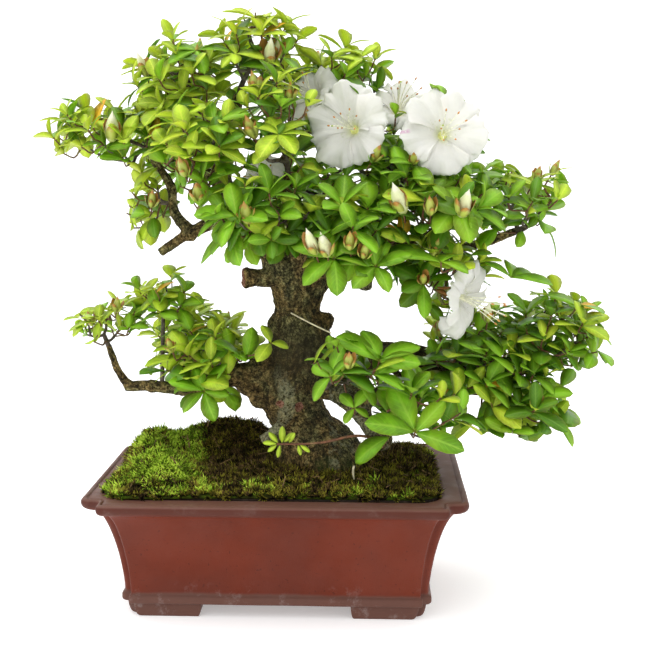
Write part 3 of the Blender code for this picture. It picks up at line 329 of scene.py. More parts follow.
# Flowers: the middle of the mouth, the way it faces, its width, its turn, and how far its petals curl
# back and ruffle
Flower = namedtuple("Flower", "centre facing width turn curl ruffle")
FLOWERS = (
    Flower((115, -48, 341), (0.02, -1.0, 0.25), 65.0, 0.30, 2.0, 1.1),
    Flower((49, -36, 345), (-0.42, -1.0, 0.25), 64.0, 1.10, 3.0, 1.5),
    Flower((86, 2, 362), (0.10, -0.75, 0.80), 50.0, 0.70, 4.0, 1.2),
    Flower((21, 0, 369), (-0.70, -0.60, 0.40), 46.0, 0.10, 4.0, 1.3),
    Flower((135, -50, 226), (0.86, -0.46, -0.22), 60.0, 0.20, 6.0, 1.1),
    Flower((-12, -14, 311), (-0.35, -0.7, 0.45), 36.0, 0.90, 3.0, 1.0),
)
PETALS = 5
FLOWER_DEPTH = 15.0
NECK_LENGTH = 25.0
THROAT_RADIUS = 2.6
PETAL_THICKNESS = 0.45
# What leaves and twigs keep clear of: how far before a flower's mouth, behind its neck and round the neck
MOUTH_CLEARANCE = 30.0
NECK_CLEARANCE = 4.0
NECK_RADIUS = 5.0
MOUTH_RIM = 2.0
# Rosy streak on one petal: both ends, across and down in the picture's pixels and depth, and its width
STREAK = ((399, 133, -50), (409, 131, -50))
STREAK_WIDTH = 1.3

# Camera, with the side of the square picture in its pixels
CAMERA_SPOT = Vector((65.4, -836.3, 319.4))
CAMERA_HEADING = Vector((-0.0390, 0.9893, -0.1406)).normalized()
CAMERA_RIGHT = CAMERA_HEADING.cross(Vector((0, 0, 1))).normalized()
CAMERA_UP = CAMERA_RIGHT.cross(CAMERA_HEADING)
CAMERA_PIXELS = 1144.6
PICTURE_SIDE = 650.0
SENSOR_WIDTH = 36.0

# Stage: how far the floor runs to the front, to where it bends up, and to each side, the radius of the
# bend and the height of the backdrop
FLOOR_FRONT = -2600.0
FLOOR_BACK = 1200.0
FLOOR_SIDE = 3600.0
BEND_RADIUS = 900.0
BACKDROP_TOP = 3200.0
# Lights: name, place, share of the key light's power, and size; all of them face one point
LIGHTS = (("key", (-700.0, -700.0, 1300.0), 1.0, 1500.0), ("top", (0.0, 200.0, 1700.0), 1.6, 2200.0))
LIGHTS_FACE = Vector((0.0, 0.0, 220.0))
WHITE = (1.0, 1.0, 1.0, 1.0)

# Dry bits that stand out: points, across and down in the picture's pixels and depth, step and radius
DRY_BITS = (
    (((291, 313, -25), (312, 324, -31), (331, 333, -36)), 3.0, 0.55),
    (((315, 501, -70), (320, 492, -58), (331, 488, -50), (345, 485, -46), (352, 484, -44)), 3.0, 0.5),
    (((354, 482, -46), (353, 472, -46), (354, 466, -46)), 2.0, 0.9),
)
# The thin sucker: where it starts, and the points that the picture shows
SUCKER_ROOT = (66.0, -40.0, 126.0)
SUCKER = ((352, 436, -48), (325, 442, -52), (300, 444, -52), (277, 444, -50))
# Small leaves on the sucker: across and down in the picture's pixels, depth, heading and length
SUCKER_LEAVES = (
    (277, 444, -50, (-1.0, -0.2, 0.15), 10.0), (278, 443, -50, (-0.55, -0.3, 0.80), 10.0),
    (282, 443, -51, (0.05, -0.3, 1.0), 13.0), (284, 442, -51, (0.65, -0.3, 0.70), 10.0),
    (280, 445, -50, (-0.15, -0.4, -0.9), 9.0), (277, 445, -50, (-0.75, -0.4, -0.45), 8.0),
    (289, 443, -52, (0.45, -0.3, 0.85), 9.0), (298, 445, -52, (0.30, -0.5, -0.8), 7.5),
    (300, 445, -52, (0.85, -0.5, -0.45), 9.0),
)
LITTER_COUNT = 130
# Litter lies this far inside the soil's edge, and outside a circle round the trunk: middle and radius
LITTER_INSET = 4.0
LITTER_FREE = (30.0, 40.0)

# Buds that the picture shows: across and down in its pixels, depth behind the pot's middle, and kind
SeenBud = namedtuple("SeenBud", "across down depth length kind")
SEEN_BUDS = [SeenBud(*row, kind) for kind, rows in (
    ("white", (
        (112, 126, -34, 25), (398, 198, -76, 26), (465, 203, -80, 24), (270, 51, -26, 24), (142, 64, -12, 19),
        (311, 241, -91, 23), (324, 244, -90, 22), (488, 312, -30, 16), (278, 46, -20, 17))),
    ("green", (
        (196, 55, -18, 17), (182, 166, -80, 18), (197, 192, -78, 18), (152, 198, -24, 16),
        (246, 212, -88, 19), (250, 126, -70, 19), (90, 318, -20, 14), (117, 304, -16, 14),
        (350, 240, -90, 17), (365, 250, -88, 16), (430, 205, -80, 17), (349, 360, -93, 15),
        (170, 345, -50, 13), (254, 82, -40, 17), (537, 400, -44, 17), (290, 92, -60, 15))),
) for row in rows]

# Gaps that the picture shows: how near a leaf must be to be left out (None: at any depth) and the corners
# of the gap, across and down in the picture's pixels
Gap = namedtuple("Gap", "before corners")
GAPS = [Gap(*row) for row in (
    (None, ((30, 150), (112, 156), (129, 176), (122, 205), (131, 236), (131, 268), (30, 268))),
    (None,
     ((30, 268), (160, 262), (186, 282), (208, 272), (236, 270), (247, 300), (262, 318), (236, 304),
      (196, 282), (170, 268), (128, 276), (98, 300), (60, 312), (30, 312))),
    (None, ((104, 333), (118, 328), (146, 332), (152, 350), (141, 363), (121, 362), (111, 350))),
    (None, ((30, 334), (82, 334), (104, 350), (112, 380), (128, 394), (170, 410), (170, 440), (30, 440))),
    (None,
     ((336, 301), (350, 292), (372, 297), (396, 306), (414, 312), (426, 330), (412, 344), (395, 340),
      (372, 343), (352, 334), (342, 322))),
    (None, ((530, 226), (590, 190), (640, 200), (640, 296), (600, 300), (566, 284), (552, 258), (526, 256))),
    (None, ((568, 372), (612, 368), (640, 380), (640, 450), (560, 450), (574, 424), (572, 396))),
    (None, ((463, 390), (481, 388), (482, 408), (470, 421), (462, 410))),
    (None, ((400, 20), (600, 20), (600, 150), (524, 178), (498, 150), (480, 100), (440, 78), (400, 74))),
    (-6, ((138, 160), (158, 158), (196, 224), (192, 240), (170, 238), (146, 196))),
    (-2, ((243, 262), (290, 266), (318, 284), (346, 296), (334, 330), (300, 345), (262, 344), (243, 290))),
    (-4, ((318, 386), (345, 380), (374, 402), (368, 440), (262, 452), (250, 390), (262, 352), (304, 350))),
    (-4, ((112, 368), (128, 376), (168, 382), (170, 398), (128, 394), (110, 388))),
    (20, ((228, 366), (262, 352), (264, 392), (232, 392))),
    (None,
     ((366, 457), (420, 457), (440, 444), (466, 436), (500, 446), (530, 437), (570, 430), (640, 430),
      (640, 520), (366, 520))),
    (-66, ((378, 404), (402, 396), (440, 398), (468, 424), (468, 452), (366, 456), (366, 430))),
    (-46, ((424, 282), (440, 266), (484, 268), (494, 292), (482, 314), (466, 340), (444, 338), (430, 308))),
)]

# Turns of leaves that the picture shows: across and down in its pixels, depth, the way the shoot points,
# the length of its leaves, how many there are and their tint
SeenSpray = namedtuple("SeenSpray", "across down depth heading length count tint")
SEEN_SPRAYS = [SeenSpray(*row) for row in (
    (415, 432, -78, (0.05, -0.90, 0.43), 33.0, 6, "mid"),
    (379, 361, -82, (0.20, -0.85, 0.45), 28.0, 6, "mid"),
    (330, 377, -84, (-0.40, -0.80, 0.45), 22.0, 5, "mid"),
    (354, 408, -74, (-0.20, -0.70, 0.60), 14.0, 4, "mid"),
    (258, 19, -2, (0.00, -0.35, 0.95), 20.0, 6, "fresh"),
    (197, 50, -22, (-0.10, -0.60, 0.80), 22.0, 6, "mid"),
    (236, 54, -30, (0.00, -0.50, 0.85), 18.0, 6, "fresh"),
    (214, 124, -64, (-0.20, -0.60, 0.75), 22.0, 6, "mid"),
    (279, 134, -78, (0.10, -0.60, 0.75), 22.0, 6, "fresh"),
    (236, 216, -84, (-0.10, -0.85, 0.50), 24.0, 6, "mid"),
    (334, 258, -80, (0.10, -0.80, 0.58), 26.0, 6, "mid"),
    (376, 266, -78, (0.10, -0.70, 0.60), 26.0, 6, "mid"),
    (204, 391, -50, (0.00, -0.85, 0.45), 22.0, 6, "mid"),
    (160, 296, -10, (0.00, -0.30, 0.95), 20.0, 6, "fresh"),
    (85, 327, -8, (-0.45, -0.30, 0.85), 15.0, 5, "fresh"),
    (541, 222, -4, (0.75, -0.30, 0.60), 26.0, 5, "mid"),
    (577, 327, -10, (0.75, -0.30, 0.55), 25.0, 5, "mid"),
    (557, 420, -20, (0.60, -0.40, 0.60), 22.0, 5, "mid"),
    (511, 277, -34, (0.40, -0.35, 0.85), 26.0, 6, "mid"),
    (441, 262, -80, (0.00, -0.45, 0.88), 25.0, 5, "mid"),
    (76, 138, -12, (-0.50, -0.25, 0.80), 20.0, 5, "fresh"),
    (271, 343, -40, (0.40, -0.70, 0.40), 16.0, 3, "fresh"),
)]


# Lengths, paths and meshes.

def placed(points):
    """Turn points in millimetres in the pot's frame into metres in the row's frame."""
    return np.asarray(points, dtype=float).reshape(-1, 3) * MM + np.array(ROW_SHIFT)


def curved(before, start, end, after, t):
    """Give the point at a share t of the way from start to end on a smooth curve through four points."""
    return 0.5 * (2.0 * start + (end - before) * t + (2.0 * before - 5.0 * start + 4.0 * end - after) * t ** 2
                  + (3.0 * start - before - 3.0 * end + after) * t ** 3)


def smooth_path(points, step):
    """Read a smooth curve through the points, about one step apart."""
    anchors = [Vector(point) for point in points]
    padded = [anchors[0] * 2.0 - anchors[1]] + anchors + [anchors[-1] * 2.0 - anchors[-2]]
    path = []
    for index in range(1, len(padded) - 2):
        four = padded[index - 1:index + 3]
        pieces = max(1, round((four[2] - four[1]).length / step))
        path += [curved(*four, piece / pieces) for piece in range(pieces)]
    path.append(anchors[-1])
    return path


def headings_along(path):
    """Give the direction of a path at each of its points."""
    last = len(path) - 1
    return [(path[min(i + 1, last)] - path[max(i - 1, 0)]).normalized() for i in range(last + 1)]


def frames_along(path):
    """Give a heading and two sides square to it at each point of a path, without twist."""
    headings = headings_along(path)
    side = headings[0].orthogonal().normalized()
    frames = []
    for heading in headings:
        side = (side - heading * side.dot(heading)).normalized()
        frames.append((heading, side.copy(), heading.cross(side)))
    return frames


def turns_round(count):
    """Give evenly spaced angles, once round."""
    return [2.0 * math.pi * index / count for index in range(count)]


def between(side, other, turn):
    """Give the direction at a turn from one side towards the other."""
    return side * math.cos(turn) + other * math.sin(turn)


def tube_rings(path, radii, sides):
    """Set one ring square to the path at each of its points."""
    rings = []
    for point, radius, (_, side, other) in zip(path, radii, frames_along(path)):
        rings.append([point + side * (radius * math.cos(turn)) + other * (radius * math.sin(turn))
                      for turn in turns_round(sides)])
    return rings


def loft(rings):
    """Join rings of equally many points into one closed shape with flat ends."""
    count = len(rings[0])
    vertices = [point for ring in rings for point in ring]
    faces = [list(range(count)), [(len(rings) - 1) * count + index for index in range(count)]]
    for level in range(len(rings) - 1):
        low = level * count
        for index in range(count):
            after = (index + 1) % count
            faces.append((low + index, low + after, low + count + after, low + count + index))
    return vertices, faces


def ball(centre, radius, sides=14):
    """Make a closed round lump."""
    rings = []
    for level in range(1, sides // 2):
        lift = math.pi * level / (sides // 2)
        flat, rise = math.sin(lift), -math.cos(lift)
        rings.append([Vector(centre) + Vector((flat * math.cos(turn), flat * math.sin(turn), rise)) * radius
                      for turn in turns_round(sides)])
    return loft(rings)


def joined(shapes):
    """Put several shapes into one list of vertices and one of faces."""
    vertices, faces = [], []
    for shape_vertices, shape_faces in shapes:
        start = len(vertices)
        vertices += shape_vertices
        faces += [tuple(start + index for index in face) for face in shape_faces]
    return vertices, faces


def new_object(name, data):
    """Show data as an object of the scene."""
    made = bpy.data.objects.new(name, data)
    bpy.context.scene.collection.objects.link(made)
    return made


def mesh_object(name, shape, recalculate=True):
    """Make an object from a shape in millimetres."""
    vertices, faces = shape
    mesh = bpy.data.meshes.new(name)
    mesh.from_pydata(placed(vertices).tolist(), [], [tuple(face) for face in faces])
    if recalculate:
        bm = bmesh.new()
        bm.from_mesh(mesh)
        bmesh.ops.recalc_face_normals(bm, faces=bm.faces)
        bm.to_mesh(mesh)
        bm.free()
    return new_object(name, mesh)


def store_values(mesh, name, values, kind="FLOAT"):
    """Keep a value for each of a mesh's points under a name."""
    field = "vector" if kind == "FLOAT_VECTOR" else "value"
    mesh.attributes.new(name, kind, "POINT").data.foreach_set(field, values)


def settled(made, name):
    """Replace an object by the plain mesh that its modifiers give."""
    bpy.context.view_layer.update()
    graph = bpy.context.evaluated_depsgraph_get()
    mesh = bpy.data.meshes.new_from_object(made.evaluated_get(graph), depsgraph=graph)
    mesh.name = name
    bpy.data.objects.remove(made, do_unlink=True)
    if not mesh.polygons:
        raise RuntimeError(f"{name} came out empty")
    return new_object(name, mesh)


def take_part(piece, nodes=()):
    """Let a piece ride on the body, shade it smooth, and let it stand for the nodes it replaces."""
    piece.data.polygons.foreach_set("use_smooth", [True] * len(piece.data.polygons))
    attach(piece, BODY)
    if nodes:
        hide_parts(*nodes)
    return piece


# Node trees.

class Sketch:
    """Adds nodes to a tree and joins them."""

    def __init__(self, tree):
        self.tree = tree

    def node(self, kind, inputs=None, **settings):
        """Add a node, with its settings, and set or link its inputs by name or number."""
        made = self.tree.nodes.new(kind)
        for key, value in settings.items():
            setattr(made, key, value)
        for key, value in (inputs or {}).items():
            self.feed(made.inputs[key], value)
        return made

    def feed(self, socket, value):
        """Link a socket to another one, or set it to a value."""
        if isinstance(value, bpy.types.NodeSocket):
            self.tree.links.new(value, socket)
        else:
            socket.default_value = value

    def work(self, operation, first, second=0.0):
        """Work out a number from two."""
        return self.node("ShaderNodeMath", {0: first, 1: second}, operation=operation).outputs[0]

    def times(self, first, second):
        """Multiply two numbers."""
        return self.work("MULTIPLY", first, second)

    def plus(self, first, second):
        """Add two numbers."""
        return self.work("ADD", first, second)

    def less(self, first, second):
        """Take the second number from the first."""
        return self.work("SUBTRACT", first, second)

    def attribute(self, name, kind):
        """Read a named attribute of the geometry."""
        made = self.node("GeometryNodeInputNamedAttribute", {"Name": name}, data_type=kind)
        return next(socket for socket in made.outputs if socket.enabled and socket.name == "Attribute")


def tube_nodes(sketch, given):
    """Lay round tubes along the lines of a mesh, as thick as its girth says."""
    radius = sketch.times(sketch.attribute("girth", "FLOAT"), given["Thickness"])
    lines = sketch.node("GeometryNodeMeshToCurve", {"Mesh": given["Geometry"]})
    ring = sketch.node("GeometryNodeCurvePrimitiveCircle", {"Resolution": given["Sides"], "Radius": 1.0})
    sized = sketch.node("GeometryNodeSetCurveRadius", {"Curve": lines.outputs["Curve"], "Radius": radius})
    return sketch.node("GeometryNodeCurveToMesh", {
        "Curve": sized.outputs["Curve"], "Profile Curve": ring.outputs["Curve"], "Fill Caps": True,
        "Scale": sketch.node("GeometryNodeInputRadius").outputs[0]}).outputs["Mesh"]


def spray_nodes(sketch, given):
    """Set one of several shapes on each point, turned and stretched as it says."""
    shapes = sketch.node("GeometryNodeCollectionInfo", {
        "Collection": given["Shapes"], "Separate Children": True, "Reset Children": True})
    stretch = sketch.node("ShaderNodeVectorMath", {
        0: sketch.attribute("stretch", "FLOAT_VECTOR"), "Scale": given["Size"]}, operation="SCALE")
    return sketch.node("GeometryNodeInstanceOnPoints", {
        "Points": given["Geometry"], "Instance": shapes.outputs[0], "Pick Instance": True,
        "Instance Index": sketch.attribute("pick", "INT"),
        "Rotation": sketch.attribute("turn", "FLOAT_VECTOR"), "Scale": stretch.outputs[0]}).outputs[0]


def tuft_nodes(sketch, given):
    """Strew tufts over a ground, as thickly as its share says."""
    density = sketch.times(sketch.attribute("share", "FLOAT"), given["Density"])
    spots = sketch.node("GeometryNodeDistributePointsOnFaces", {
        "Mesh": given["Geometry"], "Density": density, "Seed": given["Seed"]})
    lean = sketch.times(given["Lean"], -1.0)
    low = sketch.node("ShaderNodeCombineXYZ", {0: lean, 1: lean, 2: -math.pi})
    high = sketch.node("ShaderNodeCombineXYZ", {0: given["Lean"], 1: given["Lean"], 2: math.pi})
    spin = sketch.node("FunctionNodeRandomValue", {
        0: low.outputs[0], 1: high.outputs[0], "Seed": given["Seed"]}, data_type="FLOAT_VECTOR")
    turned = sketch.node("FunctionNodeRotateRotation", {
        "Rotation": spots.outputs["Rotation"], "Rotate By": spin.outputs[0]}, rotation_space="LOCAL")
    size = sketch.node("FunctionNodeRandomValue", {
        2: given["Smallest"], 3: given["Largest"], "Seed": given["Seed"]}, data_type="FLOAT")
    tuft = sketch.node("GeometryNodeObjectInfo", {"Object": given["Tuft"]})
    return sketch.node("GeometryNodeInstanceOnPoints", {
        "Points": spots.outputs["Points"], "Instance": tuft.outputs["Geometry"],
        "Rotation": turned.outputs[0], "Scale": size.outputs[1]}).outputs[0]


# Geometry trees: the nodes of each, and the names and kinds of its inputs
TREES = {
    "tubes along lines": (tube_nodes, (("Sides", "Int"), ("Thickness", "Float"))),
    "shapes on points": (spray_nodes, (("Shapes", "Collection"), ("Size", "Float"))),
    "tufts on ground": (tuft_nodes, (("Tuft", "Object"), ("Density", "Float"), ("Smallest", "Float"),
                                     ("Largest", "Float"), ("Lean", "Float"), ("Seed", "Int"))),
}


def geometry_tree(name):
    """Give a geometry tree, built when it is first asked for; it ends in plain geometry and its material."""
    if name in bpy.data.node_groups:
        return bpy.data.node_groups[name]
    build, inputs = TREES[name]
    tree = bpy.data.node_groups.new(name, "GeometryNodeTree")
    for label, kind in (("Geometry", "Geometry"), *inputs, ("Material", "Material")):
        tree.interface.new_socket(label, in_out="INPUT", socket_type="NodeSocket" + kind)
    tree.interface.new_socket("Geometry", in_out="OUTPUT", socket_type="NodeSocketGeometry")
    sketch = Sketch(tree)
    given = sketch.node("NodeGroupInput").outputs
    whole = sketch.node("GeometryNodeRealizeInstances", {"Geometry": build(sketch, given)})
    dressed = sketch.node("GeometryNodeSetMaterial", {
        "Geometry": whole.outputs["Geometry"], "Material": given["Material"]})
    sketch.node("NodeGroupOutput", {"Geometry": dressed.outputs["Geometry"]})
    return tree


def run_tree(made, tree_name, name, values):
    """Put a tree on an object, set its inputs by identifier, and give the plain mesh it makes."""
    tree = geometry_tree(tree_name)
    modifier = made.modifiers.new(tree_name, "NODES")
    modifier.node_group = tree
    for item in tree.interface.items_tree:
        if item.item_type == "SOCKET" and item.in_out == "INPUT" and item.name in values:
            modifier[item.identifier] = values[item.name]
    return settled(made, name)


def tubes_along(name, runs, material, sides=6):
    """Lay tubes along runs of points, each with its radii, and give one plain mesh."""
    vertices, edges, girths = [], [], []
    for path, radii in runs:
        start = len(vertices)
        vertices += list(path)
        girths += list(radii)
        edges += [(start + index, start + index + 1) for index in range(len(path) - 1)]
    mesh = bpy.data.meshes.new(name)
    mesh.from_pydata(placed([tuple(vertex) for vertex in vertices]).tolist(), edges, [])
    store_values(mesh, "girth", girths)
    return run_tree(new_object(name, mesh), "tubes along lines", name,
                    {"Sides": sides, "Thickness": MM, "Material": material})


Sprig = namedtuple("Sprig", "root along up stretch pick")


def spray(name, sprigs, shapes, material):
    """Set shapes on points: each runs along +Y and faces +Z before it is turned."""
    turns = []
    for sprig in sprigs:
        side = sprig.along.cross(sprig.up).normalized()
        up = side.cross(sprig.along).normalized()
        turns += list(Matrix((side, sprig.along.normalized(), up)).transposed().to_euler())
    mesh = bpy.data.meshes.new(name)
    mesh.from_pydata(placed([tuple(sprig.root) for sprig in sprigs]).tolist(), [], [])
    store_values(mesh, "turn", turns, "FLOAT_VECTOR")
    store_values(mesh, "stretch", [part for sprig in sprigs for part in sprig.stretch], "FLOAT_VECTOR")
    store_values(mesh, "pick", [sprig.pick for sprig in sprigs], "INT")
    store = shape_store(name, shapes)
    made = run_tree(new_object(name, mesh), "shapes on points", name,
                    {"Shapes": store, "Size": MM, "Material": material})
    drop_store(store)
    return made


def map_faces(mesh, places):
    """Give each corner of each face its place across and along the shape."""
    layer = mesh.uv_layers.new(name="UVMap")
    for polygon, corners in zip(mesh.polygons, places):
        for corner, place in zip(polygon.loop_indices, corners):
            layer.data[corner].uv = place


def shape_store(name, shapes):
    """Keep shapes, each (vertices, faces, places), in a collection that is not shown."""
    store = bpy.data.collections.new(name)
    for number, (vertices, faces, places) in enumerate(shapes):
        mesh = bpy.data.meshes.new(f"{name}_{number}")
        mesh.from_pydata([tuple(vertex) for vertex in vertices], [], faces)
        map_faces(mesh, places)
        mesh.polygons.foreach_set("use_smooth", [True] * len(mesh.polygons))
        store.objects.link(bpy.data.objects.new(f"{name}_{number}", mesh))
    return store


def drop_store(store):
    """Remove shapes that have been set on their points."""
    for item in list(store.objects):
        bpy.data.objects.remove(item, do_unlink=True)
    bpy.data.collections.remove(store)


# Materials.

class Finish(Sketch):
    """Builds one material's nodes around its shader."""

    def __init__(self, name, roughness, levels=None):
        self.material = bpy.data.materials.new(name)
        self.material.use_nodes = True
        super().__init__(self.material.node_tree)
        self.shader = self.tree.nodes["Principled BSDF"]
        for label, level in {"Roughness": roughness, **(levels or {})}.items():
            self.shader.inputs[label].default_value = level
        self.place = self.node("ShaderNodeTexCoord").outputs["Object"]

    def noise(self, scale, detail=4.0, roughness=0.55, vector=None, distortion=0.0):
        """Read a cloudy pattern."""
        return self.node("ShaderNodeTexNoise", {
            "Vector": vector or self.place, "Scale": scale, "Detail": detail, "Roughness": roughness,
            "Distortion": distortion}).outputs[0]

    def ramp(self, value, stops):
        """Turn a number into a colour by stops of place and colour."""
        made = self.node("ShaderNodeValToRGB", {"Fac": value})
        elements = made.color_ramp.elements
        while len(elements) < len(stops):
            elements.new(0.5)
        for element, (place, colour) in zip(elements, stops):
            element.position = place
            element.color = (*colour[:3], 1.0)
        return made.outputs[0]

    def band(self, value, low, high, first=0.0, last=1.0):
        """Map a range of a number to another, clamped and smooth."""
        return self.node("ShaderNodeMapRange", {
            "Value": value, "From Min": low, "From Max": high, "To Min": first, "To Max": last},
            interpolation_type="SMOOTHSTEP").outputs[0]

    def mix(self, share, first, second, blend="MIX"):
        """Mix two colours."""
        made = self.node("ShaderNodeMix", data_type="RGBA", blend_type=blend)
        for number, value in ((0, share), (6, first), (7, second)):
            is_colour = hasattr(value, "__len__") and not isinstance(value, bpy.types.NodeSocket)
            self.feed(made.inputs[number], (*value[:3], 1.0) if is_colour else value)
        return made.outputs[2]

    def leaf_place(self):
        """Read how far across and along a leaf, petal or blade a point lies."""
        mapped = self.node("ShaderNodeUVMap", uv_map="UVMap").outputs[0]
        return self.node("ShaderNodeSeparateXYZ", {0: mapped}).outputs[:2]

    def read(self, name, output="Fac"):
        """Read an attribute of the piece."""
        return self.node("ShaderNodeAttribute", attribute_name=name).outputs[output]

    def dress(self, colour, heights=(), roughness=None):
        """Link the colour, the bumps (height, strength, distance) and the roughness to the shader."""
        self.feed(self.shader.inputs["Base Color"], colour)
        normal = None
        for height, strength, distance in heights:
            bump = self.node("ShaderNodeBump", {"Height": height, "Strength": strength,
                                                "Distance": distance})
            if normal:
                self.tree.links.new(normal, bump.inputs["Normal"])
            normal = bump.outputs[0]
        if normal:
            self.tree.links.new(normal, self.shader.inputs["Normal"])
        if roughness:
            self.tree.links.new(roughness, self.shader.inputs["Roughness"])
        return self.material


def shade(colour, factor):
    """Make a colour darker or lighter."""
    return tuple(part * factor for part in colour[:3])


def clay_finish(settings):
    """Unglazed clay: red-brown wall, greyer rim, band and feet, with a pale bloom of salts low down; the
    lip's front is darker as painted shade and the rim's flat top lighter as painted light, besides the rim's
    own greyer clay.
    """
    finish = Finish("fired clay", 0.58, {"Specular IOR Level": 0.28})
    wall_colour, rim_colour = settings.wall_colour, settings.rim_colour
    height = finish.node("ShaderNodeSeparateXYZ", {0: finish.place}).outputs[2]
    speck = finish.band(finish.noise(420.0, 2.0), 0.64, 0.74)
    wall = finish.mix(finish.band(finish.noise(14.0, 5.0), 0.35, 0.68), shade(wall_colour, 0.86),
                      shade(wall_colour, 1.14))
    wall = finish.mix(finish.times(speck, 0.55), wall, shade(wall_colour, 0.4))
    blotch = finish.noise(60.0, 6.0)
    rim = finish.mix(blotch, shade(rim_colour, 0.8), shade(rim_colour, 1.2))
    wander = finish.times(finish.less(finish.noise(30.0, 4.0), 0.5), 0.004)
    lifted = finish.plus(height, wander)
    high = finish.band(lifted, 0.0790, 0.0840)
    flat = finish.band(height, 0.0868, 0.0884)
    low = finish.band(lifted, 0.0195, 0.0165)
    # The lip takes a darker copy of the wall mixed with the grey rim, partly the rim's greyer clay and partly
    # painted shade on the lip's front
    colour = finish.mix(high, wall, finish.mix(0.30, shade(wall_colour, 0.62), rim))
    # The rim's flat top is the rim colour made lighter and greyer, partly the rim's own grey and partly
    # painted light on the top face
    colour = finish.mix(flat, colour, finish.mix(1.0, rim, (1.75, 1.85, 1.9), "MULTIPLY"))
    colour = finish.mix(low, colour, finish.mix(blotch, shade(rim_colour, 1.2), shade(rim_colour, 1.7)))
    salts = finish.times(finish.band(finish.noise(75.0, 8.0, 0.75), 0.54, 0.72),
                         finish.band(lifted, 0.030, 0.008))
    colour = finish.mix(finish.times(salts, 0.40), colour, (0.40, 0.33, 0.31))
    dust = finish.times(finish.band(finish.noise(50.0, 8.0, 0.7), 0.52, 0.75), high)
    colour = finish.mix(finish.times(dust, 0.20), colour, (0.30, 0.24, 0.21))
    rough = finish.band(finish.noise(40.0, 5.0), 0.3, 0.7, 0.46, 0.68)
    return finish.dress(colour, ((finish.noise(900.0, 3.0, 0.7), 0.25, 0.0004),
                                 (finish.noise(120.0, 4.0), 0.2, 0.0008)), rough)


def earth_finish():
    """Dark crumbly soil."""
    finish = Finish("soil crumbs", 0.95)
    crumbs = finish.node("ShaderNodeTexVoronoi", {"Vector": finish.place, "Scale": 260.0})
    colour = finish.ramp(finish.noise(180.0, 6.0, 0.7), (
        (0.3, (0.012, 0.008, 0.005)), (0.6, (0.035, 0.022, 0.012)), (0.8, (0.085, 0.055, 0.032))))
    return finish.dress(colour, ((crumbs.outputs["Distance"], 0.9, 0.002),))


def moss_ground_finish(settings):
    """The ground between the tufts: mottled brown and green, darker than bare soil and with darkened copies
    of the moss colours, as painted shade in the gaps between the tufts.
    """
    finish = Finish("moss ground", 0.95, {"Specular IOR Level": 0.1})
    # Painted shade: the soil is made very dark and the green is the moss colours darkened, as if shaded under
    # the tufts
    dark = finish.ramp(finish.noise(220.0, 6.0, 0.7), (
        (0.3, (0.008, 0.006, 0.003)), (0.7, (0.038, 0.026, 0.010))))
    lush = finish.ramp(finish.noise(260.0, 5.0, 0.7), (
        (0.3, shade(settings.olive_colour, 0.25)), (0.7, shade(settings.bright_colour, 0.5))))
    colour = finish.mix(finish.read("lush"), dark, lush)
    return finish.dress(colour, ((finish.noise(600.0, 4.0, 0.8), 1.0, 0.002),))


def tuft_finish(name, colour, tip_colour):
    """A moss tint: dark at the foot of each blade, partly older stems and partly painted shade down in the
    cushion, lighter at its tip, and uneven from tuft to tuft.
    """
    finish = Finish(name, 0.8, {"Specular IOR Level": 0.12})
    _, along = finish.leaf_place()
    patch = finish.noise(110.0, 7.0, 0.80)
    body = finish.mix(finish.band(patch, 0.40, 0.60), shade(colour, 0.22), shade(colour, 1.5))
    # Painted shade in part: the foot of each blade is a darker copy of its own colour, as if shaded down in
    # the cushion
    blade = finish.mix(finish.band(along, 0.0, 0.9), shade(colour, 0.22), body)
    tips = finish.times(finish.band(along, 0.25, 0.85), finish.band(patch, 0.44, 0.60, 0.06, 1.0))
    return finish.dress(finish.mix(tips, blade, tip_colour))


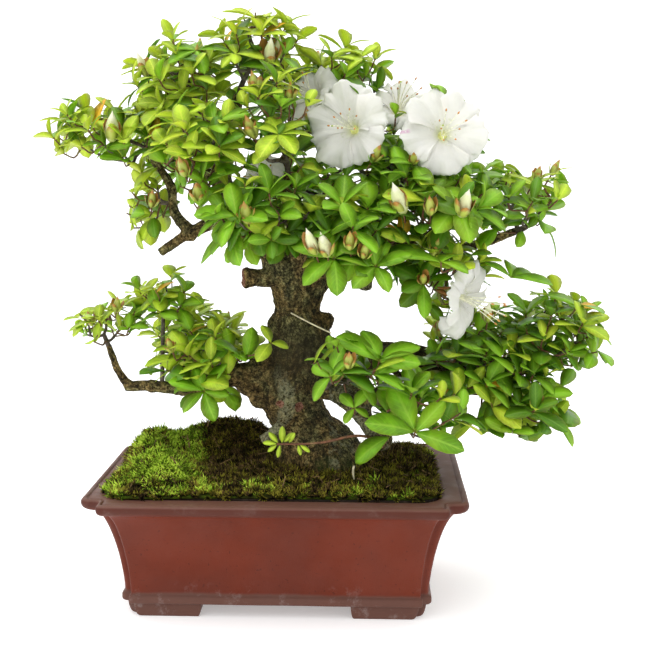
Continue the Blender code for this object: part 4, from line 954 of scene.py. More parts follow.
def bark_finish(settings):
    """Old bark: grey-brown, mottled, finely split along the limb, with lichen, scars and a mossy foot."""
    finish = Finish("old bark", 0.86, {"Specular IOR Level": 0.22})
    bark, lichen = settings.bark_colour, settings.lichen_colour
    split = finish.noise(330.0, 6.0, 0.72, vector=finish.read("grain", "Vector"), distortion=0.5)
    mottle = finish.noise(170.0, 9.0, 0.80)
    granule = finish.noise(520.0, 6.0, 0.80)
    coarse = finish.band(granule, 0.44, 0.56)
    blend = finish.plus(finish.times(mottle, 0.42),
                        finish.plus(finish.times(granule, 0.42), finish.times(split, 0.16)))
    colour = finish.ramp(blend, ((0.44, shade(bark, 0.09)), (0.48, shade(bark, 0.45)),
                                 (0.52, shade(bark, 1.25)), (0.57, shade(bark, 3.6))))
    cracks = finish.times(finish.band(split, 0.50, 0.36), 0.6)
    colour = finish.mix(cracks, colour, shade(bark, 0.12))
    warm = finish.mix(finish.band(finish.noise(48.0, 5.0, 0.6), 0.42, 0.62), (1.0, 0.82, 0.66),
                      (0.90, 1.0, 0.90))
    colour = finish.mix(1.0, colour, warm, "MULTIPLY")
    crust = finish.plus(finish.noise(75.0, 8.0, 0.80, distortion=0.6),
                        finish.times(finish.read("crusted"), 0.26))
    flecks = finish.mix(coarse, shade(lichen, 0.30), shade(lichen, 1.5))
    colour = finish.mix(finish.times(finish.band(crust, 0.66, 0.76), 0.80), colour, flecks)
    old = finish.times(finish.read("pale"), finish.band(granule, 0.42, 0.54))
    colour = finish.mix(finish.times(old, 0.75), colour, shade(lichen, 1.7))
    damp = finish.times(finish.read("mossy"), finish.band(finish.noise(90.0, 6.0, 0.7), 0.4, 0.6))
    colour = finish.mix(damp, colour, (0.045, 0.070, 0.012))
    raw = finish.mix(coarse, (0.17, 0.050, 0.026), (0.58, 0.30, 0.20))
    scarred = finish.read("scarred")
    ragged = finish.plus(scarred, finish.times(finish.less(finish.noise(190.0, 5.0, 0.75), 0.5), 2.6))
    colour = finish.mix(finish.times(finish.band(ragged, 0.45, 0.60), finish.band(scarred, 0.0, 0.15)),
                        colour, raw)
    sawn = finish.mix(finish.noise(300.0, 5.0, 0.7), (0.30, 0.22, 0.12), (0.72, 0.60, 0.44))
    colour = finish.mix(finish.band(finish.read("sawn"), 0.3, 0.6), colour, sawn)
    colour = finish.mix(finish.read("shaded"), colour, shade(bark, 0.25))
    return finish.dress(colour, ((split, 0.6, 0.0022), (mottle, 0.8, 0.0024), (granule, 1.0, 0.0020)))


def twig_finish(name, colour, pale):
    """Twig bark with fine flecks and paler rings."""
    finish = Finish(name, 0.7)
    fleck = finish.noise(520.0, 5.0, 0.7)
    body = finish.mix(finish.band(fleck, 0.35, 0.68), shade(colour, 0.5), shade(colour, 1.5))
    rings = finish.times(finish.band(finish.noise(140.0, 4.0), 0.52, 0.66), 0.7)
    return finish.dress(finish.mix(rings, body, pale), ((fleck, 0.5, 0.0006),))


def leaf_finish(name, colour, gloss):
    """Leaf: upper face with a pale midrib and side veins, a paler underside, and slow changes of tint."""
    finish = Finish(name, gloss, {
        "Specular IOR Level": 0.32, "Subsurface Weight": 0.20, "Subsurface Radius": (0.6, 1.0, 0.2),
        "Subsurface Scale": 0.002})
    across, along = finish.leaf_place()
    # The underside's places are 2 further along
    under = finish.work("GREATER_THAN", along, 1.5)
    along = finish.less(along, finish.times(under, 2.0))
    from_rib = finish.work("ABSOLUTE", finish.less(across, 0.5))
    rib = finish.band(from_rib, 0.075, 0.020)
    slant = finish.less(finish.times(along, 8.0), finish.times(from_rib, 4.5))
    from_vein = finish.work("ABSOLUTE", finish.less(finish.work("FRACT", slant), 0.5))
    vein = finish.band(from_vein, 0.13, 0.02)
    yellow = (min(1.0, colour[0] * 1.6 + 0.02), colour[1] * 1.15, colour[2] * 1.2)
    pale = (colour[0] * 1.5 + 0.05, colour[1] * 1.2 + 0.06, colour[2] * 1.4 + 0.03)
    body = finish.mix(finish.band(finish.noise(70.0, 3.0), 0.32, 0.68), shade(colour, 0.72),
                      shade(colour, 1.30))
    layers = ((finish.band(finish.noise(28.0, 2.0), 0.50, 0.72), 0.45, yellow),
              (vein, 0.22, shade(colour, 1.8)), (rib, 0.55, pale), (under, 0.45, pale),
              (finish.band(along, 0.10, 0.0), 0.6, (0.25, 0.16, 0.03)),
              (finish.band(from_rib, 0.44, 0.5), 0.5, yellow))
    for where, share, tint in layers:
        body = finish.mix(finish.times(where, share), body, tint)
    return finish.dress(body, ((rib, -0.5, 0.0006), (vein, -0.25, 0.0003)))


def bud_finish(name, foot, body, tip):
    """Closed bud: a foot of its own tint, green scales with darker blotches, and a tip that turns brown."""
    finish = Finish(name, 0.45)
    _, along = finish.leaf_place()
    blotch = finish.noise(190.0, 4.0, 0.7)
    colour = finish.mix(finish.band(along, 0.0, 0.35), foot, body)
    colour = finish.mix(finish.times(finish.band(blotch, 0.5, 0.7), 0.5), colour, shade(body, 0.62))
    edge = finish.plus(along, finish.times(finish.less(blotch, 0.5), 0.5))
    return finish.dress(finish.mix(finish.band(edge, 0.70, 0.90), colour, tip), ((blotch, 0.3, 0.0006),))


def petal_finish(settings):
    """Petal: creamy white, faint pleats, a green-yellow throat with spots, and a few rosy flecks."""
    finish = Finish("petal", 0.55, {
        "Subsurface Weight": 0.45, "Subsurface Radius": (1.0, 0.95, 0.8), "Subsurface Scale": 0.006})
    across, along = finish.leaf_place()
    fan = finish.node("ShaderNodeCombineXYZ", {0: across, 1: finish.times(along, 0.05)}).outputs[0]
    pleat = finish.node("ShaderNodeTexWave", {"Vector": fan, "Scale": 5.0, "Distortion": 1.0,
                                              "Detail": 2.0}).outputs["Fac"]
    colour = finish.mix(finish.band(finish.noise(60.0, 3.0), 0.3, 0.7), settings.petal_colour,
                        shade(settings.petal_colour, 0.9))
    throat = finish.band(along, 0.30, 0.03)
    colour = finish.mix(finish.times(throat, 0.85), colour, settings.throat_colour)
    ring = finish.times(finish.band(along, 0.50, 0.34), finish.band(along, 0.10, 0.22))
    spots = finish.times(finish.band(finish.noise(420.0, 3.0, 0.6), 0.58, 0.66), ring)
    colour = finish.mix(finish.times(spots, 0.35), colour, (0.46, 0.52, 0.16))
    streak = finish.times(finish.read("streak"), finish.band(finish.noise(260.0, 3.0), 0.35, 0.55))
    colour = finish.mix(streak, colour, (0.62, 0.05, 0.42))
    return finish.dress(colour, ((pleat, 0.12, 0.0006), (finish.noise(340.0, 4.0, 0.6), 0.12, 0.0004)))


def plain_finish(name, colour, roughness, scale=300.0, spread=0.3, bump=0.3):
    """A finish with fine uneven tint and grain, for small pieces."""
    finish = Finish(name, roughness)
    cloud = finish.noise(scale, 5.0, 0.65)
    body = finish.mix(finish.band(cloud, 0.3, 0.7), shade(colour, 1.0 - spread), shade(colour, 1.0 + spread))
    return finish.dress(body, ((cloud, bump, 0.0005),))


# The pot.

def corner_arc(centre, radius, start, end, pieces):
    """Give the points of an arc between two angles in degrees."""
    turns = [math.radians(start + (end - start) * index / pieces) for index in range(pieces + 1)]
    return [(centre[0] + radius * math.cos(turn), centre[1] + radius * math.sin(turn)) for turn in turns]


def stepped_corner(half_length, half_depth, notch):
    """Give the outline's corner at +x and -y: a step between the front face and the end face."""
    front, inner, end = notch * 0.2, notch * 0.3, notch * 0.55
    points = corner_arc((half_length - notch - front, -half_depth + front), front, 270, 360, 6)
    points += corner_arc((half_length - notch + inner, -half_depth + notch - inner), inner, 180, 90, 6)
    points += corner_arc((half_length - end, -half_depth + notch + end), end, 270, 360, 9)
    return points


def closed_outline(corner):
    """Mirror the corner at +x and -y to all four corners and set points along the straight sides."""
    corners = (list(corner), [(x, -y) for x, y in reversed(corner)],
               [(-x, -y) for x, y in corner], [(-x, y) for x, y in reversed(corner)])
    outline = []
    for number, points in enumerate(corners):
        outline += points
        following = corners[(number + 1) % 4][0]
        count = SHORT_SIDE_POINTS if number % 2 == 0 else LONG_SIDE_POINTS
        for index in range(1, count + 1):
            share = index / (count + 1)
            outline.append((points[-1][0] + (following[0] - points[-1][0]) * share,
                            points[-1][1] + (following[1] - points[-1][1]) * share))
    return outline


def pot_ring(inset, height):
    """Give the pot's outline at one height, set in by an amount, a little uneven by hand."""
    notch = NOTCH_AT_BASE + (NOTCH_AT_LIP - NOTCH_AT_BASE) * (1.0 - inset / WALL_INSET)
    corner = stepped_corner(POT_LENGTH / 2 - inset, POT_DEPTH / 2 - inset, notch)
    ring = []
    for x, y in closed_outline(corner):
        spot = Vector((x, y, height))
        wander = 0.28 * noise.noise(spot / 34.0) + 0.10 * noise.noise(spot / 9.0) - 0.2
        ring.append(spot + Vector((x, y, 0.0)).normalized() * wander)
    return ring


def cavity_ring(height, shrink=0.0):
    """Give the rounded outline of the pot's inside at one height."""
    share = (height - FLOOR_HEIGHT) / (POT_HEIGHT - FLOOR_HEIGHT)
    half_length, half_depth = [low + (top - low) * share - shrink
                               for low, top in zip(CAVITY_FLOOR, CAVITY_TOP)]
    radius = CAVITY_CORNER - shrink
    count = len(stepped_corner(10.0, 10.0, 5.0)) - 1
    corner = corner_arc((half_length - radius, radius - half_depth), radius, 270, 360, count)
    return [Vector((x, y, height)) for x, y in closed_outline(corner)]


def pot_body():
    """Give the pot's body: bottom, base band, coved wall, rolled lip, beaded rim and inside."""
    levels = list(BASE_LEVELS)
    for index in range(COVE_LEVELS + 1):
        t = math.sin(0.5 * math.pi * index / COVE_LEVELS)
        rise = (1.0 - math.sqrt(max(0.0, 1.0 - t * t))) ** COVE_POWER
        levels.append((WALL_INSET - (WALL_INSET - LIP_OVERHANG) * rise,
                       WALL_FOOT + (LIP_BOTTOM - WALL_FOOT) * t))
    rings = [pot_ring(inset, height) for inset, height in levels + list(LIP_LEVELS)]
    flat = pot_ring(*LIP_LEVELS[-1])
    inner = cavity_ring(POT_HEIGHT, -1.4)
    for share, height in FLAT_LEVELS:
        rings.append([Vector((*first.lerp(second, share).to_2d(), height))
                      for first, second in zip(flat, inner)])
    rings.append(cavity_ring(CAVITY_LIP, -0.5))
    rings += [cavity_ring(height) for height in CAVITY_LEVELS]
    return loft(rings)


def foot_shape():
    """Give the foot at +x and -y, bent round its corner."""
    half_length, half_depth = POT_LENGTH / 2 - FEET_INSET, POT_DEPTH / 2 - FEET_INSET
    notch = NOTCH_AT_BASE + (NOTCH_AT_LIP - NOTCH_AT_BASE) * (1.0 - FEET_INSET / WALL_INSET)
    start, end = half_length - FOOT_LENGTH, FOOT_WIDTH - half_depth
    back, side = FOOT_THICKNESS - half_depth, half_length - FOOT_THICKNESS
    outer = [(start, -half_depth)] + stepped_corner(half_length, half_depth, notch) + [(half_length, end)]
    rings = []
    for height, inward in FOOT_LEVELS:
        shrunk = [(x - inward, y + FOOT_FRONT_DRAFT * inward) for x, y in outer]
        near, far = start + FOOT_END_DRAFT * inward, end - FOOT_END_DRAFT * inward
        shrunk[0] = (near, shrunk[0][1])
        shrunk[-1] = (shrunk[-1][0], far)
        rings.append([Vector((x, y, height)) for x, y in shrunk + [(side, far), (side, back), (near, back)]])
    return loft(rings)


def rounded_edges(made, width, steepest=40.0):
    """Round the sharp edges of a piece."""
    bm = bmesh.new()
    bm.from_mesh(made.data)
    edges = [edge for edge in bm.edges
             if len(edge.link_faces) == 2 and math.degrees(edge.calc_face_angle(0.0)) > steepest]
    bmesh.ops.bevel(bm, geom=edges, offset=width * MM, segments=3, profile=0.5, affect="EDGES",
                    clamp_overlap=True)
    bmesh.ops.recalc_face_normals(bm, faces=bm.faces)
    bm.to_mesh(made.data)
    bm.free()


def join_objects(name, parts):
    """Join objects into the first one."""
    with bpy.context.temp_override(active_object=parts[0], selected_editable_objects=parts):
        bpy.ops.object.join()
    parts[0].name = name
    parts[0].data.name = name
    return parts[0]


# The moss.

def foot_swell(angle, height):
    """Give how much the root spurs widen the trunk at one heading and height."""
    fade = max(0.0, (FLARE_TOP - height) / (FLARE_TOP - POT_HEIGHT)) ** 1.4
    swell = 0.0
    for heading, amount, spread in ROOT_SPURS:
        turn = (math.degrees(angle) - heading + 180.0) % 360.0 - 180.0
        swell += amount * math.exp(-(turn / spread) ** 2)
    return fade * swell


def bark_swell(angle, height):
    """Give the slow bulges of old wood around the trunk."""
    return (0.030 * math.sin(3.0 * angle + 0.055 * height)
            + 0.022 * math.sin(5.0 * angle - 0.110 * height + 1.0))


def trunk_point(section, angle, clearance=0.0):
    """Give the point at one angle of a section of the trunk."""
    height, centre_x, centre_y, half_width, half_depth = section
    scale = 1.0 + foot_swell(angle, height) + bark_swell(angle, height)
    return Vector((centre_x + (half_width * scale + clearance) * math.cos(angle),
                   centre_y + (half_depth * scale + clearance) * math.sin(angle), height))


def inside_distance(x, y):
    """Give how far a point lies inside the edge of the soil."""
    half_length, half_depth = CAVITY_TOP
    across = abs(x) - (half_length - CAVITY_CORNER)
    along = abs(y) - (half_depth - CAVITY_CORNER)
    outside = math.hypot(max(across, 0.0), max(along, 0.0))
    return CAVITY_CORNER - outside - min(max(across, along), 0.0)


def bump(x, y, middle_x, middle_y, spread_x, spread_y):
    """Give the height at one place of a round bump of height one."""
    return math.exp(-((x - middle_x) / spread_x) ** 2 - ((y - middle_y) / spread_y) ** 2)


def moss_spill(x, y):
    """Give how far the moss creeps over the rim at the left."""
    return MOSS_SPILL * (bump(x, y, -105.0, -50.0, 42.0, 34.0) + bump(x, y, -115.0, 30.0, 30.0, 30.0))


def moss_height(x, y):
    """Give the moss's thickness at one place, with cushions and crumbs."""
    depth = inside_distance(x, y) + moss_spill(x, y)
    rise = min(1.0, max(0.0, depth / MOSS_FALLOFF))
    rise = rise * (2.0 - rise)
    top = sum(height * bump(x, y, *mound) for height, *mound in MOUNDS)
    cushions = 3.0 * noise.noise(Vector((x / 12.0, y / 12.0, 0.3)))
    crumbs = 2.8 * noise.noise(Vector((x / 4.5, y / 4.5, 7.0)))
    return MOSS_EDGE + rise * max(0.3, 1.5 + top + cushions + crumbs)


def moss_shape():
    """Give the ground that the moss grows on, from the trunk's foot to the edge of the pot's inside."""
    foot_centre = Vector(TRUNK_SECTIONS[0][1:3])
    tops = [[] for _ in range(MOSS_LEVELS)]
    floors = [[], []]
    for angle in turns_round(MOSS_ANGLES):
        heading = Vector((math.cos(angle), math.sin(angle)))
        inner = trunk_point(TRUNK_SECTIONS[0], angle, -4.0).to_2d()
        reach = (inner - foot_centre).length
        while True:
            spot = foot_centre + heading * reach
            if inside_distance(spot.x, spot.y) + moss_spill(spot.x, spot.y) <= 1.0:
                break
            reach += 0.4
        outer = foot_centre + heading * reach
        for level in range(MOSS_LEVELS):
            spot = inner.lerp(outer, math.sin(0.5 * math.pi * level / (MOSS_LEVELS - 1)))
            tops[level].append(Vector((spot.x, spot.y, MOSS_BASE + moss_height(spot.x, spot.y))))
        floors[0].append(Vector((inner.x, inner.y, MOSS_BASE)))
        floors[1].append(Vector((outer.x, outer.y, MOSS_BASE)))
    rings = [floors[0]] + tops + [floors[1]]
    vertices, faces = loft(rings)
    faces = faces[2:]
    last = (len(rings) - 1) * MOSS_ANGLES
    faces += [(index, (index + 1) % MOSS_ANGLES, last + (index + 1) % MOSS_ANGLES, last + index)
              for index in range(MOSS_ANGLES)]
    return vertices, faces


def moss_shares(x, y):
    """Give how much bright, olive and brown moss grows at one place; the brown near the trunk and at the
    right is partly dry moss and partly painted shade under the crown.
    """
    patch = noise.noise(Vector((x / 15.0, y / 15.0, 2.0)))
    fine = noise.noise(Vector((x / 5.0, y / 5.0, 9.0)))
    left = bump(x, y, -84.0, -38.0, 27.0, 24.0) + bump(x, y, -88.0, 34.0, 32.0, 28.0)
    front = (0.5 if x < 0.0 else 0.18) * math.exp(-((y + 62.0) / 16.0) ** 2)
    # Painted shade in part: dark brown moss near the trunk and at the right, where the crown's shade falls
    dry_and_shaded = 1.2 * bump(x, y, -18.0, 4.0, 36.0, 42.0) + 0.8 * bump(x, y, 92.0, 16.0, 26.0, 34.0)
    bright = min(1.0, max(0.0, left * 1.3 + front + patch * 0.9 + fine * 0.7 - 0.30 - 0.5 * dry_and_shaded))
    brown = min(1.0, max(0.10, dry_and_shaded * 1.2 + 0.30 - patch * 0.6 - fine * 0.9 - bright))
    olive = min(1.0, max(0.08, 0.95 - bright * 0.8 - brown * 0.6 + fine * 0.6))
    return bright, olive, brown


def tuft_shape(blades, height, spread, seed):
    """Make a tuft of thin pointed blades round one foot; each blade is a closed pyramid."""
    picks = random.Random(seed)
    vertices, faces, places = [], [], []
    for index in range(blades):
        turn = 2.0 * math.pi * (index + picks.uniform(-0.3, 0.3)) / blades
        lean = picks.uniform(0.15, 1.0) * spread
        foot = Vector((math.cos(turn), math.sin(turn), 0.0)) * picks.uniform(0.0, 0.35)
        tip = foot + Vector((math.cos(turn) * lean, math.sin(turn) * lean, 1.0)) * picks.uniform(0.65, 1.1)
        wide = picks.uniform(0.13, 0.2)
        start = len(vertices)
        for corner in range(3):
            around = turn + 2.0 * math.pi * corner / 3
            vertices.append((foot + Vector((math.cos(around), math.sin(around), 0.0)) * wide) * height)
        vertices.append(tip * height)
        faces += [(start, start + 1, start + 3), (start + 1, start + 2, start + 3),
                  (start + 2, start, start + 3), (start + 2, start + 1, start)]
        places += [((0.0, 0.0), (1.0, 0.0), (0.5, 1.0))] * 3 + [((0.0, 0.0), (0.5, 0.0), (1.0, 0.0))]
    return vertices, faces, places


# The wood.

def blended_sections(step):
    """Read smooth sections of the trunk, about one step apart in height."""
    last = len(TRUNK_SECTIONS) - 1
    sections = []
    for index in range(last):
        four = [TRUNK_SECTIONS[min(last, max(0, k))] for k in range(index - 1, index + 3)]
        pieces = max(1, round((four[2][0] - four[1][0]) / step))
        sections += [tuple(curved(*values, piece / pieces) for values in zip(*four))
                     for piece in range(pieces)]
    sections.append(TRUNK_SECTIONS[-1])
    return sections


def limb_radius(share, radii, seed):
    """Give a limb's radius at a share of its length: a taper with the swellings of old wood."""
    root, tip = radii
    taper = tip + (root - tip) * (1.0 - share) ** 1.2
    return taper * (1.0 + 0.07 * math.sin(9.0 * share + seed) * (1.0 - share))


def limb_run(limb, seed):
    """Give a limb's whole path in short steps and its radius at each point."""
    path = smooth_path(limb.points, 1.0)
    last = len(path) - 1
    return path, [limb_radius(index / last, limb.radii, seed) for index in range(last + 1)]


LIMB_RUNS = {limb.name: limb_run(limb, number * 1.7) for number, limb in enumerate(LIMBS)}


def wood_shape():
    """Give the trunk, the limbs and their lumps as closed shapes that run into each other."""
    shapes = [loft([[trunk_point(section, turn) for turn in turns_round(TRUNK_SIDES)]
                    for section in blended_sections(2.0)])]
    for path, radii in LIMB_RUNS.values():
        picks = list(range(0, len(path) - 1, 2)) + [len(path) - 1]
        shapes.append(loft(tube_rings([path[k] for k in picks], [radii[k] for k in picks], TUBE_SIDES)))
    for points, (thick, thin) in SNAGS:
        path = smooth_path(points, 2.0)
        radii = [thick + (thin - thick) * k / (len(path) - 1) for k in range(len(path))]
        shapes.append(loft(tube_rings(path, radii, TUBE_SIDES)))
    return joined(shapes + [ball(centre, radius) for centre, radius in LUMPS])


def wood_places(points, block=4000):
    """Find for each point the nearest limb: place along and across it, and its radius."""
    rows = []
    sections = blended_sections(2.0)
    runs = [([Vector((x, y, height)) for height, x, y, _, _ in sections],
             [min(section[3:5]) for section in sections])]
    runs += [(path[::2], sizes[::2]) for path, sizes in LIMB_RUNS.values()]
    for path, sizes in runs:
        travelled = 0.0
        for index, (spot, size, (_, side, other)) in enumerate(zip(path, sizes, frames_along(path))):
            travelled += (spot - path[max(0, index - 1)]).length
            rows.append((spot, side, other, travelled, size))
    spots, sides, others, lengths, radii = [np.array(column) for column in zip(*rows)]
    grain = np.zeros((len(points), 3))
    girth = np.zeros(len(points))
    for start in range(0, len(points), block):
        part = slice(start, start + block)
        offsets = points[part, None, :] - spots[None, :, :]
        nearest = np.argmin(np.linalg.norm(offsets, axis=2) - radii[None, :], axis=1)
        offset = offsets[np.arange(len(nearest)), nearest]
        grain[part, 0] = lengths[nearest] * GRAIN_STRETCH
        grain[part, 1] = (offset * sides[nearest]).sum(axis=1)
        grain[part, 2] = (offset * others[nearest]).sum(axis=1)
        girth[part] = radii[nearest]
    return grain, girth


def bark_relief(spot, grain, girth):
    """Give how far the bark stands out at one place: lumps, ridges along the limb and fine cracks."""
    size = min(1.0, girth / 15.0)
    lumps = 2.1 * noise.noise(spot / 14.0) + 1.2 * noise.noise(spot / 6.5)
    knuckles = 0.8 * noise.noise(spot / 3.0)
    ridge = 1.0 - min(1.0, abs(noise.noise(grain / 3.1)) * 4.0)
    return lumps * (0.15 + size) * 0.62 + knuckles * (0.3 + size * 0.7) - ridge * 0.8 * (0.2 + 0.8 * size)


# Twigs and shoots.

def seen_at(across, down, depth):
    """Give the place that the picture shows at a pixel, at one distance behind the pot's middle."""
    ray = CAMERA_HEADING + CAMERA_RIGHT * ((across - PICTURE_SIDE / 2) / CAMERA_PIXELS) \
        + CAMERA_UP * ((PICTURE_SIDE / 2 - down) / CAMERA_PIXELS)
    return CAMERA_SPOT + ray * ((depth - CAMERA_SPOT.y) / ray.y)


def picture_place(point):
    """Give the pixel at which the picture shows a point."""
    offset = point - CAMERA_SPOT
    depth = offset.dot(CAMERA_HEADING)
    return (PICTURE_SIDE / 2 + CAMERA_PIXELS * offset.dot(CAMERA_RIGHT) / depth,
            PICTURE_SIDE / 2 - CAMERA_PIXELS * offset.dot(CAMERA_UP) / depth)


def in_corners(across, down, corners):
    """Say whether a pixel lies within a ring of corners."""
    inside = False
    for (x0, y0), (x1, y1) in zip(corners, corners[1:] + corners[:1]):
        if (y0 > down) != (y1 > down) and across < x0 + (x1 - x0) * (down - y0) / (y1 - y0):
            inside = not inside
    return inside


def in_gap(point):
    """Say whether a point lies in one of the gaps that the picture shows."""
    across, down = picture_place(point)
    return any((gap.before is None or point.y < gap.before) and in_corners(across, down, gap.corners)
               for gap in GAPS)


class Space:
    """The room of one mass: an ellipsoid."""

    def __init__(self, mass):
        self.centre = Vector(mass.centre)
        self.radii = Vector(mass.radii)

    def share(self, point, margin=0.0):
        """Give how far out a point lies: nought in the middle and one at the skin."""
        offset = point - self.centre
        return math.sqrt(sum((part / (size - margin)) ** 2 for part, size in zip(offset, self.radii)))


def nearest_mass(spot):
    """Give the mass whose space a place lies in or nearest to."""
    return min(MASSES, key=lambda mass: Space(mass).share(spot))


class KeepOut:
    """Says where wood and flowers are, so that twigs and leaves stay off them."""

    def __init__(self):
        runs = [(Vector((section[1], section[2], section[0])), min(section[3:5]))
                for section in blended_sections(4.0)]
        for path, radii in LIMB_RUNS.values():
            runs += list(zip(path[::3], radii[::3]))
        runs += [(Vector(centre), radius) for centre, radius in LUMPS]
        self.runs = runs
        self.tree = KDTree(len(runs))
        for index, (spot, _) in enumerate(runs):
            self.tree.insert(spot, index)
        self.tree.balance()

    def in_wood(self, point, margin):
        """Say whether a point lies in the wood or within a margin of it."""
        return any(distance < self.runs[index][1] + margin
                   for _, index, distance in self.tree.find_range(point, WOOD_SEARCH))

    def in_flower(self, point, margin=0.0):
        """Say whether a point lies in a flower's funnel or before its mouth."""
        for flower in FLOWERS:
            offset = point - Vector(flower.centre)
            facing = Vector(flower.facing).normalized()
            ahead = offset.dot(facing)
            aside = (offset - facing * ahead).length
            half = flower.width / 2 + margin
            funnel = half * (1.0 + ahead / FLOWER_DEPTH) + MOUTH_RIM + margin
            before = 0.0 <= ahead < MOUTH_CLEARANCE and aside < half + MOUTH_RIM
            beside = -NECK_LENGTH - NECK_CLEARANCE < ahead < 0.0 and aside < NECK_RADIUS + margin
            within = -FLOWER_DEPTH < ahead < 0.0 and aside < funnel
            if before or beside or within:
                return True
        return False


Shoot = namedtuple("Shoot", "tip heading side length size tint count")
Bud = namedtuple("Bud", "root heading length kind")


class Twig:
    """One twig: its points, how far each is from the mass's root, and what it grew from."""

    def __init__(self, points, parent, travelled):
        self.points = points
        self.parent = parent
        self.carried = 0
        self.travel = [travelled]
        for first, second in zip(points, points[1:]):
            self.travel.append(self.travel[-1] + (second - first).length)


